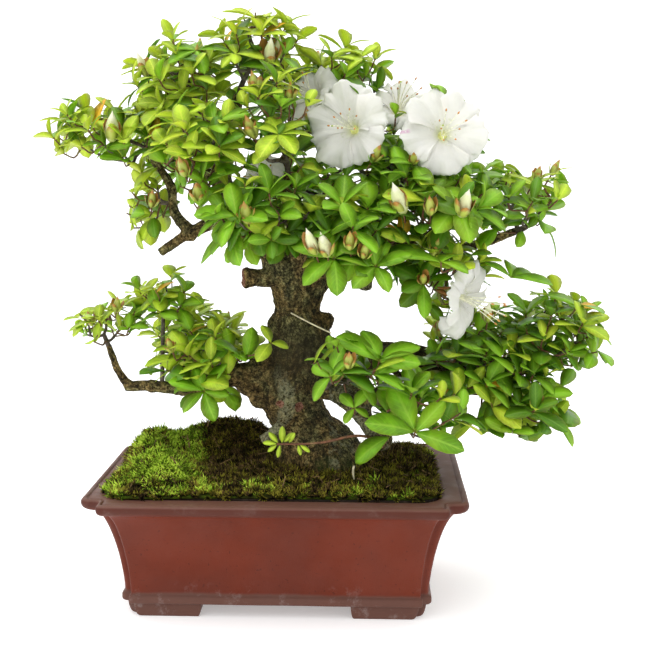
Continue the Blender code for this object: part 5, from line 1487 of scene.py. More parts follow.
class Crown:
    """Grows every mass by the source's rule, carried on to finer twigs, and holds what grew."""

    def __init__(self, spacing):
        self.spacing = spacing
        self.keep_out = KeepOut()
        self.twigs = []
        self.shoots = []
        self.seen = []
        self.buds = []
        for number, mass in enumerate(MASSES):
            self.grow_mass(mass, MASS_SEED + number)
        self.shoots = self.seen + self.shoots

    def stem(self, mass, space):
        """Run a mass's stem from its limb to the hub."""
        path, _ = LIMB_RUNS[mass.limb]
        if mass.share >= 1.0:
            heading = (path[-1] - path[-3]).normalized()
            start = path[-1] - heading * 2.0
        else:
            index = round(mass.share * (len(path) - 1))
            start = path[index]
            along = (path[index + 1] - path[index - 1]).normalized()
            towards = space.centre - start
            heading = (towards - along * towards.dot(along) * 0.5).normalized()
        straight = start + heading * 9.0
        share = 0.0
        to_centre = space.centre - straight
        while share < 0.8 and space.share(straight + to_centre * share, 9.0) > 1.0:
            share += 0.05
        hub = straight + to_centre * share
        anchors = [start, straight] + ([hub] if (hub - straight).length > 4.0 else [])
        return Twig(smooth_path(anchors, 3.0), None, 0.0)

    def spots(self, space, picks):
        """Scatter twig tips evenly through the outer part of a space."""
        inner = space.radii - Vector((6.0, 6.0, 5.0))
        found = []
        for _ in range(SPOT_TRIES):
            lift = picks.uniform(-0.95, 1.0)
            turn = picks.uniform(0.0, 2.0 * math.pi)
            flat = math.sqrt(1.0 - lift * lift)
            depth = picks.uniform(0.22, 1.0) ** 0.55
            spot = space.centre + Vector((flat * math.cos(turn) * inner.x, flat * math.sin(turn) * inner.y,
                                          lift * inner.z)) * depth
            if any((spot - other).length <= self.spacing for other in found) or in_gap(spot):
                continue
            if not self.keep_out.in_wood(spot, TIP_CLEARANCE) and not self.keep_out.in_flower(spot, 2.0):
                found.append(spot)
        return found

    def add_twig(self, twigs, tip, picks, outward, reach=10.0):
        """Grow a twig to a tip from whichever point of the mass is nearest and bends least."""
        nodes = [(twig, index) for twig in twigs for index in range(1, len(twig.points), 2)]
        nodes.sort(key=lambda node: (node[0].points[node[1]] - tip).length + 0.35 * node[0].travel[node[1]])
        for twig, index in nodes[:NODES_TRIED]:
            start = twig.points[index]
            towards = tip - start
            if towards.length < SHORTEST_TWIG:
                continue
            if (start - twig.points[index - 1]).angle(towards) > SHARPEST_BEND:
                continue
            shoot = (towards.normalized() * 0.45 + outward + Vector((0.0, 0.0, 0.75))).normalized()
            bend = tip - shoot * min(reach, towards.length * 0.6)
            middle = start.lerp(bend, 0.5) + Vector([picks.uniform(-1.2, 1.2) for _ in range(3)])
            points = smooth_path([start, middle, bend, tip], 3.5)
            if any(self.keep_out.in_flower(point) for point in points[2:]):
                continue
            grown = Twig(points, twig, twig.travel[index])
            twigs.append(grown)
            while twig:
                twig.carried += 1
                twig = twig.parent
            grown.carried = 1
            return grown, shoot
        return None, None

    def grow_mass(self, mass, seed):
        """Grow one mass: its stem, its twigs and a shoot of leaves at each tip."""
        picks = random.Random(seed)
        space = Space(mass)
        twigs = [self.stem(mass, space)]
        hub = twigs[0].points[-1]
        outermost = (space.centre - CROWN_MIDDLE).normalized()
        for tip in sorted(self.spots(space, picks), key=lambda spot: (spot - hub).length):
            outward = (tip - space.centre).normalized() * 0.55 + outermost * 0.35
            grown, heading = self.add_twig(twigs, tip, picks, outward)
            if not grown:
                continue
            # Outer and higher leaves take the lighter tints and inner ones the dark deep tint: partly fresher
            # growth at the tips, partly painted light from above and the left and painted shade inside the
            # crown
            depth = space.share(tip)
            height = (tip.z - space.centre.z) / space.radii.z
            lit_share = LIT_FRESH_TOP[1] * (space.centre.z > LIT_FRESH_TOP[0])
            lit_share += LIT_FRESH_LEFT[1] * (space.centre.x < LIT_FRESH_LEFT[0])
            freshness_and_light = 0.5 * height + 0.5 * depth + lit_share + picks.uniform(-0.40, 0.40)
            tint = "fresh" if freshness_and_light > FRESH_FROM else ("mid" if freshness_and_light > MID_FROM else "deep")
            heading = (heading - Vector((0.0, 0.0, 0.9)) * min(0.0, outermost.z)).normalized()
            side = heading.orthogonal().normalized()
            length = min(11.0, grown.travel[-1] - grown.travel[0])
            size = mass.leaf_size * picks.uniform(0.80, 1.15)
            self.shoots.append(Shoot(tip, heading, side, length, size, tint, 0))
            if picks.random() < RANDOM_BUDS and depth > 0.7 and in_box(tip + heading * 16.0, 5.0):
                self.buds.append(Bud(tip, heading, picks.uniform(12.0, 16.0), "green"))
        for spray_seen in SEEN_SPRAYS:
            spot = seen_at(spray_seen.across, spray_seen.down, spray_seen.depth)
            if nearest_mass(spot) is mass:
                heading = Vector(spray_seen.heading).normalized()
                self.add_twig(twigs, spot, picks, heading, 8.0)
                self.seen.append(Shoot(spot, heading, heading.orthogonal().normalized(), 5.0,
                                       spray_seen.length, spray_seen.tint, spray_seen.count))
        for bud in SEEN_BUDS:
            spot = seen_at(bud.across, bud.down, bud.depth)
            if nearest_mass(spot) is mass:
                facing = (spot - space.centre).normalized() * 0.5 + Vector((0.0, -0.25, 0.9))
                heading = facing.normalized()
                root = spot - heading * bud.length * 0.5
                self.add_twig(twigs, root, picks, heading, 8.0)
                self.buds.append(Bud(root, heading, bud.length, bud.kind))
        self.twigs += twigs


CROWN = {}


def crown(context):
    """Give the crown, grown once."""
    if "grown" not in CROWN:
        CROWN["grown"] = Crown(context.scene.azalea_twigs.spacing / MM)
    return CROWN["grown"]


def twig_radii(twig):
    """Give a twig's radius at each point: thicker where it carries more shoots."""
    root = min(2.6, 0.62 * max(1, twig.carried) ** 0.42)
    tip = root * 0.8 if twig.parent is None else max(0.55, root * 0.55)
    last = len(twig.points) - 1
    return [root + (tip - root) * index / last for index in range(last + 1)]


# Leaves, buds and flowers.

# Buds and what holds them: widths, ridges and swirl of each shape, and colours of foot, body and tip
BUD_KINDS = {
    "green": ("buds_green", ((0.36, 0.20, 1.6), (0.41, 0.18, 2.2)),
              ("green bud", (0.34, 0.30, 0.05), (0.42, 0.48, 0.08), (0.44, 0.20, 0.04))),
    "white": ("buds_white", ((0.34, 0.24, 2.6), (0.39, 0.22, 3.4)),
              ("white bud", (0.40, 0.46, 0.10), (0.72, 0.76, 0.42), (0.86, 0.84, 0.66))),
}
BRACT_COUNT = 5
BRACT_TINT = ("bud bract", (0.42, 0.40, 0.08), (0.46, 0.52, 0.09), (0.46, 0.22, 0.04))
CALYX_TINT = ("calyx", (0.30, 0.26, 0.04), (0.42, 0.44, 0.08), (0.40, 0.16, 0.04))

# Outline of a leaf: share of its length and share of its full width
LEAF_OUTLINE = ((0.0, 0.05), (0.12, 0.32), (0.30, 0.75), (0.51, 1.0), (0.72, 0.97), (0.90, 0.64),
                (1.0, 0.08))
LEAF_THICKNESS = 0.014
# Shapes of leaves: width, fold, droop and twist of each
LEAF_SHAPES = ((0.52, 0.16, 0.08, 0.10), (0.60, 0.08, 0.18, -0.15), (0.46, 0.26, 0.02, 0.25),
               (0.56, 0.12, 0.28, -0.05))
BUD_LEVELS = (0.0, 0.05, 0.14, 0.27, 0.42, 0.57, 0.71, 0.83, 0.93, 1.0)
BUD_SIDES = 20
BUD_SCALES = 5.0


def leaf_shape(width, fold, droop, twist):
    """Make a leaf of unit length along +Y: two halves folded along the midrib, closed underneath.

    Its places run from 0 to 1 across and along it, and those of its underside are 2 further along.
    """
    vertices, faces, places = [], [], []
    for along, wide in LEAF_OUTLINE:
        half = 0.5 * width * wide
        lift = -droop * along * along + 0.05 * math.sin(math.pi * along)
        turn = twist * along
        for side in (-1.0, 0.0, 1.0):
            spread = side * half
            edge = lift + fold * half * abs(side)
            vertices.append(Vector((spread * math.cos(turn), along, edge + spread * math.sin(turn))))
        vertices.append(Vector((0.0, along, lift - LEAF_THICKNESS)))
    rows = [along for along, _ in LEAF_OUTLINE]
    strips = ((0, 1, 0.0, 0.5, 0), (1, 2, 0.5, 1.0, 0), (3, 0, 0.5, 0.0, 2), (2, 3, 1.0, 0.5, 2))
    for row, (first, second) in enumerate(zip(rows, rows[1:])):
        low, high = row * 4, row * 4 + 4
        for left, right, left_place, right_place, under in strips:
            faces.append((low + left, low + right, high + right, high + left))
            places.append(((left_place, first + under), (right_place, first + under),
                           (right_place, second + under), (left_place, second + under)))
    top = (len(rows) - 1) * 4
    faces += [(0, 3, 2, 1), (top, top + 1, top + 2, top + 3)]
    places += [((0.0, 0.0), (0.5, 0.0), (1.0, 0.0), (0.5, 0.0))] * 2
    return vertices, faces, places


def bud_shape(width, ridges, swirl, slim=0.68):
    """Make a bud of unit length along +Y: overlapping scales drawn to a point."""
    vertices, faces, places = [], [], []
    for along in BUD_LEVELS:
        body = max(0.03, math.sin(math.pi * min(1.0, along + 0.04) ** slim) ** 0.8)
        for turn in turns_round(BUD_SIDES):
            scale = (BUD_SCALES * turn / (2.0 * math.pi) + swirl * along) % 1.0
            reach = 0.5 * width * body * (1.0 + ridges * (scale - 0.5))
            vertices.append(Vector((reach * math.cos(turn), along, reach * math.sin(turn))))
    for level, (first, second) in enumerate(zip(BUD_LEVELS, BUD_LEVELS[1:])):
        low, high = level * BUD_SIDES, (level + 1) * BUD_SIDES
        for index in range(BUD_SIDES):
            after = (index + 1) % BUD_SIDES
            left, right = index / BUD_SIDES, (index + 1) / BUD_SIDES
            faces.append((low + index, high + index, high + after, low + after))
            places.append(((left, first), (left, second), (right, second), (right, first)))
    top = (len(BUD_LEVELS) - 1) * BUD_SIDES
    faces += [tuple(range(BUD_SIDES)), tuple(top + index for index in reversed(range(BUD_SIDES)))]
    places += [((0.5, 0.0),) * BUD_SIDES, ((0.5, 1.0),) * BUD_SIDES]
    return vertices, faces, places


class Crowd:
    """Remembers where leaves are, so that none lies right on another."""

    def __init__(self, cell):
        self.cell = cell
        self.taken = {}

    def key(self, point):
        """Give the cell that a point lies in."""
        return tuple(int(math.floor(part / self.cell)) for part in point)

    def is_free(self, points, distance):
        """Say whether none of the points lies near one that is taken."""
        for point in points:
            x, y, z = self.key(point)
            for i in (-1, 0, 1):
                for j in (-1, 0, 1):
                    for k in (-1, 0, 1):
                        for other in self.taken.get((x + i, y + j, z + k), ()):
                            if (other - point).length < distance:
                                return False
        return True

    def take(self, points):
        """Take the points' places."""
        for point in points:
            self.taken.setdefault(self.key(point), []).append(point)


def in_box(point, margin=1.5):
    """Say whether a point lies inside the box of the model by a margin."""
    spot = Vector(point) * MM + ROW_SHIFT
    return all(low + margin * MM < part < high - margin * MM
               for part, low, high in zip(spot, CAD_BOX[0], CAD_BOX[1]))


def leaves_of(shoots, keep_out, settings, seed):
    """Set leaves up each shoot, the lower ones wide and the top ones steep, and deal them by tint."""
    picks = random.Random(seed)
    crowd = Crowd(CROWD_CELL)
    dealt = {"fresh": [], "mid": [], "deep": [], "old": []}
    for shoot in shoots:
        count = shoot.count or settings.leaves_per_shoot + picks.choice((-1, 0, 0, 1))
        for index in range(count):
            low = index < count - TOP_LEAVES or shoot.count
            spread = math.radians(picks.uniform(*(LOW_SPREAD if low else TOP_SPREAD)))
            azimuth = math.radians((360.0 / shoot.count if shoot.count else LEAF_TURN) * index
                                   + picks.uniform(-18.0, 18.0))
            side = Matrix.Rotation(azimuth, 3, shoot.heading) @ shoot.side
            along = shoot.heading * math.cos(spread) + side * math.sin(spread)
            back = max(0.0, shoot.length - 4.0) * (1.0 - (index + 1) / count) * 0.85
            root = shoot.tip - shoot.heading * back
            full = shoot.size if shoot.count else settings.length / MM * shoot.size
            length = full * picks.uniform(0.80, 1.18) * (1.0 if low else TOP_LEAF_SIZE)
            up = (shoot.heading - along * shoot.heading.dot(along)).normalized() + Vector((0, 0, 0.5)) \
                + Vector([picks.uniform(-0.35, 0.35) for _ in range(3)])
            marks = [root + along * length * share for share in LEAF_MARKS]
            flank = along.cross(up).normalized() * length * LEAF_HALF_WIDTH
            if not all(in_box(mark) for mark in marks + [marks[0] + flank, marks[0] - flank]):
                continue
            if not crowd.is_free(marks, LEAF_GAP) or any(keep_out.in_flower(mark, -3.0) for mark in marks):
                continue
            if not shoot.count and (in_gap(marks[0]) or in_gap(marks[2])):
                continue
            if any(keep_out.in_wood(mark, LIMB_MARGIN) for mark in marks):
                continue
            crowd.take(marks)
            wide = picks.uniform(0.9, 1.12) * length
            tint = shoot.tint
            if index == 0 and not shoot.count and picks.random() < settings.old_share:
                tint = "old"
            elif not shoot.count and picks.random() < OTHER_TINT:
                tint = picks.choice(("fresh", "mid", "deep"))
            dealt[tint].append(Sprig(root, along, up, (wide, length, length),
                                     picks.randrange(len(LEAF_SHAPES))))
    return dealt


def flower_frame(flower):
    """Give a flower's middle and its three axes, the last one facing out of its mouth."""
    facing = Vector(flower.facing).normalized()
    side = facing.cross(Vector((0.0, 0.0, 1.0))).normalized()
    turned = between(side, facing.cross(side), flower.turn)
    return Vector(flower.centre), turned, facing.cross(turned), facing


def petal_point(flower, t, u, phase, reach, droop, middle):
    """Give a petal's point at a share t of its length and at u, from -1 to 1, across it."""
    def ripple(waves, shift=1.0):
        return math.sin(waves * u + shift * phase)

    ruffle = flower.ruffle
    notch = 0.035 * math.exp(-(u / 0.14) ** 2)
    edge = reach * (1.0 - 0.24 * abs(u) ** 3.0 - notch + 0.026 * ruffle * ripple(7.0)
                    + 0.014 * ruffle * ripple(17.0, 2.0) + 0.008 * ruffle * ripple(37.0, 3.0))
    radius = THROAT_RADIUS + (edge - THROAT_RADIUS) * (0.50 * t + 0.50 * t ** 1.5)
    turn = middle + u * math.radians(36.3 + 9.0 * t * t)
    depth = -FLOWER_DEPTH * (1.0 - t) ** 2.2
    depth -= droop * max(0.0, (t - 0.62) / 0.38) ** 2
    depth += 3.0 * u * t ** 3
    depth += ruffle * t ** 3 * (2.4 * ripple(3.2) + 1.5 * ripple(8.0))
    depth += 0.8 * ruffle * t ** 6 * ripple(19.0)
    depth += 0.14 * ripple(13.0) * t * (1.0 - 0.6 * t)
    depth -= 0.5 * math.exp(-(u / 0.20) ** 2) * math.sin(math.pi * t)
    return Vector((radius * math.cos(turn), radius * math.sin(turn), depth))


def petal_sheet(flower, number, rows=16, columns=24):
    """Make one petal as a sheet from the throat to the lobe's edge, in the flower's own frame."""
    picks = random.Random(number * 7 + round(flower.width))
    phase = picks.uniform(0.0, 6.0)
    reach = flower.width / 2 * picks.uniform(0.87, 1.03)
    droop = flower.curl * picks.uniform(0.6, 1.25)
    middle = 2.0 * math.pi * number / PETALS
    points = [petal_point(flower, row / rows, 2.0 * column / columns - 1.0, phase, reach, droop, middle)
              for row in range(rows + 1) for column in range(columns + 1)]
    faces, places = [], []
    for row in range(rows):
        for column in range(columns):
            low = row * (columns + 1) + column
            high = low + columns + 1
            faces.append((low, high, high + 1, low + 1))
            places.append([((column + step) / columns, (row + rise) / rows)
                           for step, rise in ((0, 0), (0, 1), (1, 1), (1, 0))])
    return points, faces, places


def streak_at(spot):
    """Give how strongly the rosy streak of one petal tints a place."""
    start, end = [seen_at(*mark) for mark in STREAK]
    share = min(1.0, max(0.0, (spot - start).dot(end - start) / (end - start).length_squared))
    aside = spot - start.lerp(end, share)
    return max(0.0, 1.0 - Vector((aside.x, 0.2 * aside.y, aside.z)).length / STREAK_WIDTH)


def flower_object(name, flower, material):
    """Make a flower's petals as thin closed shells."""
    centre, side, other, facing = flower_frame(flower)
    vertices, faces, places = [], [], []
    for number in range(PETALS):
        points, petal_faces, petal_places = petal_sheet(flower, number)
        start = len(vertices)
        vertices += [centre + side * point.x + other * point.y + facing * point.z for point in points]
        faces += [tuple(start + index for index in face) for face in petal_faces]
        places += petal_places
    made = mesh_object(name, (vertices, faces), recalculate=False)
    map_faces(made.data, places)
    store_values(made.data, "streak", [streak_at(spot) for spot in vertices])
    made.data.materials.append(material)
    thick = made.modifiers.new("petal thickness", "SOLIDIFY")
    thick.thickness = PETAL_THICKNESS * MM
    thick.offset = 0.0
    return settled(made, name)


def stamen_runs(flower, count, length):
    """Give a flower's filaments and its pistil, curved out of its throat, and the place of each tip."""
    centre, side, other, facing = flower_frame(flower)
    picks = random.Random(round(flower.width * 10))
    down = Vector((0.35, 0.0, -0.55))
    runs, tips = [], []
    for index in range(count + 1):
        pistil = index == count
        fan = between(side, other, 2.0 * math.pi * index / count) * picks.uniform(4.0, 9.0)
        start = centre - facing * FLOWER_DEPTH * 0.8 + fan * 0.12
        reach = length * (1.25 if pistil else picks.uniform(0.85, 1.08))
        middle = start + facing * reach * 0.55 + fan * 0.35 + down * 2.0
        tip = start + facing * reach + fan * 1.1 + down * 9.0 + Vector((0.0, 0.0, 3.0))
        path = smooth_path((start, middle, tip), 3.0)
        runs.append((path, [0.42 if pistil else 0.30] * len(path)))
        tips.append((path[-1], (path[-1] - path[-2]).normalized(), pistil))
    return runs, tips


# Settings.

def colour_setting(label, about, value):
    """Describe a colour that a user may change."""
    return FloatVectorProperty(name=label, description=about, subtype="COLOR", size=3, min=0.0, max=1.0,
                               default=value)


def length_setting(label, about, value, low=0.0, high=1.0):
    """Describe a length in metres that a user may change."""
    return FloatProperty(name=label, description=about, subtype="DISTANCE", unit="LENGTH", default=value,
                         min=low, max=high, precision=4)


class AzaleaPotSettings(bpy.types.PropertyGroup):
    """Sizes and colours of the pot."""

    wall_colour: colour_setting("Wall colour", "Colour of the fired clay wall", (0.134, 0.0175, 0.0036))
    rim_colour: colour_setting("Rim colour", "Colour of the greyer rim, band and feet",
                               (0.084, 0.034, 0.0235))
    edge_rounding: length_setting("Foot rounding", "How far the feet's edges are rounded", 0.0012, 0.0, 0.003)


class AzaleaMossSettings(bpy.types.PropertyGroup):
    """Sizes and colours of the moss."""

    bright_colour: colour_setting("Bright moss", "Colour of the fresh cushions", (0.290, 0.560, 0.018))
    olive_colour: colour_setting("Olive moss", "Colour of the older moss", (0.120, 0.105, 0.007))
    # The brown tint is partly dry moss and partly painted shade under the crown
    brown_colour: colour_setting("Brown moss", "Colour of the dry moss", (0.036, 0.024, 0.008))
    blade_height: length_setting("Tuft height", "Height of a tuft of moss", 0.0044, 0.001, 0.008)
    density: FloatProperty(name="Tuft density", default=190000.0, min=1000.0, max=1000000.0,
                           description="Tufts on a square metre where one kind covers it")


class AzaleaWoodSettings(bpy.types.PropertyGroup):
    """Sizes and colours of the trunk and boughs."""

    bark_colour: colour_setting("Bark colour", "Middle tint of the bark", (0.170, 0.140, 0.062))
    lichen_colour: colour_setting("Lichen colour", "Tint of the crust on old bark", (0.270, 0.270, 0.160))
    mesh_size: length_setting("Mesh size", "Width of the faces of the bark's mesh", 0.0012, 0.0008, 0.004)
    relief: FloatProperty(name="Relief", description="Share of the bark's full relief", default=1.0,
                          min=0.0, max=2.0)


class AzaleaTwigSettings(bpy.types.PropertyGroup):
    """Sizes and colours of the twigs."""

    spacing: length_setting("Tip spacing", "Least distance between two twig tips of a mass", 0.0163, 0.01,
                            0.06)
    young_colour: colour_setting("Young twig", "Colour of this year's twigs", (0.150, 0.062, 0.028))
    old_colour: colour_setting("Old twig", "Colour of older twigs", (0.085, 0.062, 0.044))
    sides: IntProperty(name="Twig sides", description="Sides of a twig's round", default=6, min=3, max=16)


class AzaleaLeafSettings(bpy.types.PropertyGroup):
    """Sizes and colours of the leaves."""

    length: length_setting("Leaf length", "Length of a full-grown leaf", 0.0215, 0.01, 0.05)
    leaves_per_shoot: IntProperty(name="Leaves per shoot", description="Leaves that a shoot carries",
                                  default=6, min=3, max=14)
    old_share: FloatProperty(name="Old leaves", description="Share of shoots with a yellow lowest leaf",
                             default=0.05, min=0.0, max=1.0, subtype="FACTOR")
    # The leaf tints are dealt partly as painted light: the lighter ones where light falls from above and the
    # left, the deep one inside the crown as painted shade
    fresh_colour: colour_setting("Fresh leaf", "Tint of the newest leaves", (0.400, 0.590, 0.030))
    mid_colour: colour_setting("Full leaf", "Tint of the grown leaves", (0.185, 0.410, 0.014))
    deep_colour: colour_setting("Deep leaf", "Tint of the oldest green leaves", (0.085, 0.215, 0.008))
    old_colour: colour_setting("Old leaf", "Tint of leaves about to fall", (0.700, 0.420, 0.020))


class AzaleaFlowerSettings(bpy.types.PropertyGroup):
    """Sizes and colours of the flowers and buds."""

    petal_colour: colour_setting("Petal", "Colour of the petals", (0.870, 0.850, 0.765))
    throat_colour: colour_setting("Throat", "Colour deep in the flower", (0.820, 0.850, 0.560))
    stamen_count: IntProperty(name="Stamens", description="Stamens of one flower", default=8, min=5, max=10)
    stamen_length: length_setting("Stamen length", "Length of a filament", 0.030, 0.01, 0.05)


class AzaleaStageSettings(bpy.types.PropertyGroup):
    """Light and floor of the stage."""

    floor_colour: colour_setting("Floor", "Colour of the floor and backdrop", (0.92, 0.92, 0.92))
    floor_glow: FloatProperty(name="Floor glow", description="Light that the floor gives of its own",
                              default=0.34, min=0.0, max=2.0)
    key_power: FloatProperty(name="Key light", description="Power of the large soft light", unit="POWER",
                             default=8.0, min=0.0, max=500.0)
    sky_strength: FloatProperty(name="Sky", description="Strength of the even light all round", default=0.94,
                                min=0.0, max=5.0)


# Operators.

def drain_hole(x):
    """Give a round bar where a drain hole is cut."""
    return loft([[Vector((x + DRAIN_RADIUS * math.cos(turn), DRAIN_RADIUS * math.sin(turn), z))
                  for turn in turns_round(DRAIN_SIDES)] for z in (FEET_HEIGHT - 3.0, FLOOR_HEIGHT + 3.0)])


class AZALEA_OT_pot(bpy.types.Operator):
    """Make the pot with its lip, rim, base band and feet"""

    bl_idname = "azalea.pot"
    bl_label = "Pot"

    def execute(self, context):
        settings = context.scene.azalea_pot
        body = mesh_object("pot_body", pot_body())
        drill = mesh_object("drains", joined([drain_hole(-DRAIN_OFFSET), drain_hole(DRAIN_OFFSET)]))
        cut = body.modifiers.new("drain holes", "BOOLEAN")
        cut.operation = "DIFFERENCE"
        cut.solver = "EXACT"
        cut.object = drill
        parts = [settled(body, "pot_body")]
        bpy.data.objects.remove(drill, do_unlink=True)
        vertices, faces = foot_shape()
        for flip_x, flip_y in ((1, 1), (-1, 1), (1, -1), (-1, -1)):
            turned = [Vector((point.x * flip_x, point.y * flip_y, point.z)) for point in vertices]
            parts.append(mesh_object("foot", (turned, faces)))
            rounded_edges(parts[-1], settings.edge_rounding / MM)
        pot = join_objects("clay_pot", parts)
        pot.data.materials.clear()
        pot.data.materials.append(clay_finish(settings))
        take_part(pot, ("pot",))
        return {"FINISHED"}


class AZALEA_OT_soil(bpy.types.Operator):
    """Give the packed soil its crumbly finish"""

    bl_idname = "azalea.soil"
    bl_label = "Soil"

    def execute(self, context):
        soil = frame["nodes"]["soil"]
        soil.data.materials.clear()
        soil.data.materials.append(earth_finish())
        return {"FINISHED"}


class AZALEA_OT_moss(bpy.types.Operator):
    """Spread the moss and strew its tufts in three tints"""

    bl_idname = "azalea.moss"
    bl_label = "Moss"

    def execute(self, context):
        settings = context.scene.azalea_moss
        shape = moss_shape()
        shares = [moss_shares(point.x, point.y) for point in shape[0]]
        ground = mesh_object("moss_ground", shape)
        store_values(ground.data, "lush", [min(1.0, bright + 0.5 * olive) for bright, olive, _ in shares])
        ground.data.materials.append(moss_ground_finish(settings))
        for number, (name, colour, tip, blades, spread, density, seed) in enumerate(MOSS_KINDS):
            seat = mesh_object(name + "_seat", shape)
            store_values(seat.data, "share", [part[number] if point.z > MOSS_BASE + 0.5 else 0.0
                                              for part, point in zip(shares, shape[0])])
            store = shape_store(name, [tuft_shape(blades, settings.blade_height, spread, seed)])
            tufts = run_tree(seat, "tufts on ground", name, {
                "Tuft": store.objects[0], "Density": settings.density * density, "Lean": TUFT_LEAN,
                "Smallest": TUFT_SIZES[0], "Largest": TUFT_SIZES[1], "Seed": seed,
                "Material": tuft_finish(name.replace("_", " "), getattr(settings, colour), tip)})
            drop_store(store)
            take_part(tufts)
        take_part(ground, ("moss",))
        return {"FINISHED"}


def hump(values, middle, spread):
    """Give a bump of height one round a middle value."""
    return np.exp(-((values - middle) / spread) ** 2)


def distances(spots, centre):
    """Give how far each spot lies from a point."""
    return np.linalg.norm(spots - np.array(centre), axis=1)


def scarred_wood(spots):
    """Give how scarred the wood is at each spot, and how far the scars raise or sink it."""
    scarred, raised = np.zeros(len(spots)), np.zeros(len(spots))
    for centre, radius, redness, depth_share in SCARS:
        distance = distances((spots - np.array(centre)) * np.array((1.0, depth_share, 1.0)), (0.0, 0.0, 0.0))
        scarred = np.maximum(scarred, redness * np.clip((radius - distance) / 1.6, 0.0, 1.0))
        raised += SCAR_LIP * hump(distance, radius, SCAR_LIP_WIDTH) - SCAR_DEPTH * (distance < radius * 0.7)
    return scarred, raised


def wood_tints(spots):
    """Give where the wood is pale, sawn, mossy, crusted with lichen, or shaded."""
    x, y, z = spots.T
    ridge = np.min([distances(spots, spot) for spot in smooth_path(PALE_RIDGE, 2.0)], axis=0)
    snag, snag_reach = CRUSTED_SNAG
    front_branch = (np.abs(x - 62.0) < 26.0) * (y < -12.0)
    waist = hump(x, 6.0, 9.0) * hump(z, 156.0, 12.0) * (y < 0.0)
    crusted = (0.08 + hump(distances(spots, snag), 0.0, snag_reach) + 0.30 * hump(z, 215.0, 30.0)
               + 0.7 * front_branch + 0.8 * waist)
    return {
        "pale": np.clip(1.0 - ridge / PALE_REACH, 0.0, 1.0) ** 0.5,
        "sawn": np.clip((SAWN_FACE[1] - distances(spots, SAWN_FACE[0])) / 2.0, 0.0, 1.0),
        "mossy": np.clip((112.0 - z) / 14.0, 0.0, 1.0) * np.clip((x - 10.0) / 22.0, 0.15, 1.0),
        "crusted": np.clip(crusted, 0.0, 1.0),
        "shaded": 0.80 * hump(z, 180.0, 20.0) * np.clip((x + 16.0) / 12.0, 0.0, 1.0),
    }


class AZALEA_OT_wood(bpy.types.Operator):
    """Fuse trunk and boughs into one skin and raise the bark on it"""

    bl_idname = "azalea.wood"
    bl_label = "Trunk and boughs"

    def execute(self, context):
        settings = context.scene.azalea_wood
        made = mesh_object("wood", wood_shape())
        skin = made.modifiers.new("skin", "REMESH")
        skin.mode = "VOXEL"
        skin.voxel_size = settings.mesh_size * 1.0
        even = made.modifiers.new("even", "SMOOTH")
        even.factor = 0.5
        even.iterations = 4
        wood = settled(made, "trunk_and_boughs")
        vertices = wood.data.vertices
        spots, normals = np.empty(len(vertices) * 3), np.empty(len(vertices) * 3)
        vertices.foreach_get("co", spots)
        wood.data.vertex_normals.foreach_get("vector", normals)
        spots = (spots.reshape(-1, 3) - np.array(ROW_SHIFT)) / MM
        grain, girth = wood_places(spots)
        relief = np.array([bark_relief(Vector(spot), Vector(place), size)
                           for spot, place, size in zip(spots, grain, girth)])
        tints = wood_tints(spots)
        tints["scarred"], raised = scarred_wood(spots)
        raised = (relief * settings.relief + raised) * (1.0 - 0.8 * tints["sawn"])
        vertices.foreach_set("co", placed(spots + normals.reshape(-1, 3) * raised[:, None]).ravel())
        for name, values in tints.items():
            store_values(wood.data, name, values)
        store_values(wood.data, "grain", (grain * MM).ravel(), "FLOAT_VECTOR")
        wood.data.materials.clear()
        wood.data.materials.append(bark_finish(settings))
        take_part(wood, WOOD_NODES)
        return {"FINISHED"}


class AZALEA_OT_twigs(bpy.types.Operator):
    """Grow the twigs: grey-brown where they are thick, reddish where they are young"""

    bl_idname = "azalea.twigs"
    bl_label = "Twigs"

    def execute(self, context):
        settings = context.scene.azalea_twigs
        old, young = [], []
        for twig in crown(context).twigs:
            radii = twig_radii(twig)
            (old if radii[0] > 0.95 else young).append((twig.points, radii))
        old_bark = twig_finish("old twig bark", settings.old_colour, (0.24, 0.21, 0.16))
        young_bark = twig_finish("young twig bark", settings.young_colour, (0.26, 0.22, 0.05))
        take_part(tubes_along("twigs_old", old, old_bark, settings.sides + 2))
        take_part(tubes_along("twigs_young", young, young_bark, settings.sides))
        return {"FINISHED"}


class AZALEA_OT_leaves(bpy.types.Operator):
    """Set the leaves on their shoots in four tints"""

    bl_idname = "azalea.leaves"
    bl_label = "Leaves"

    def execute(self, context):
        settings = context.scene.azalea_leaves
        grown = crown(context)
        dealt = leaves_of(grown.shoots, grown.keep_out, settings, LEAF_SEED)
        shapes = [leaf_shape(*row) for row in LEAF_SHAPES]
        finishes = (("fresh", settings.fresh_colour, 0.50), ("mid", settings.mid_colour, 0.46),
                    ("deep", settings.deep_colour, 0.42), ("old", settings.old_colour, 0.55))
        for tint, colour, gloss in finishes:
            leaves = spray(f"leaves_{tint}", dealt[tint], shapes, leaf_finish(f"leaf {tint}", colour, gloss))
            take_part(leaves, MASS_NODES)
        return {"FINISHED"}


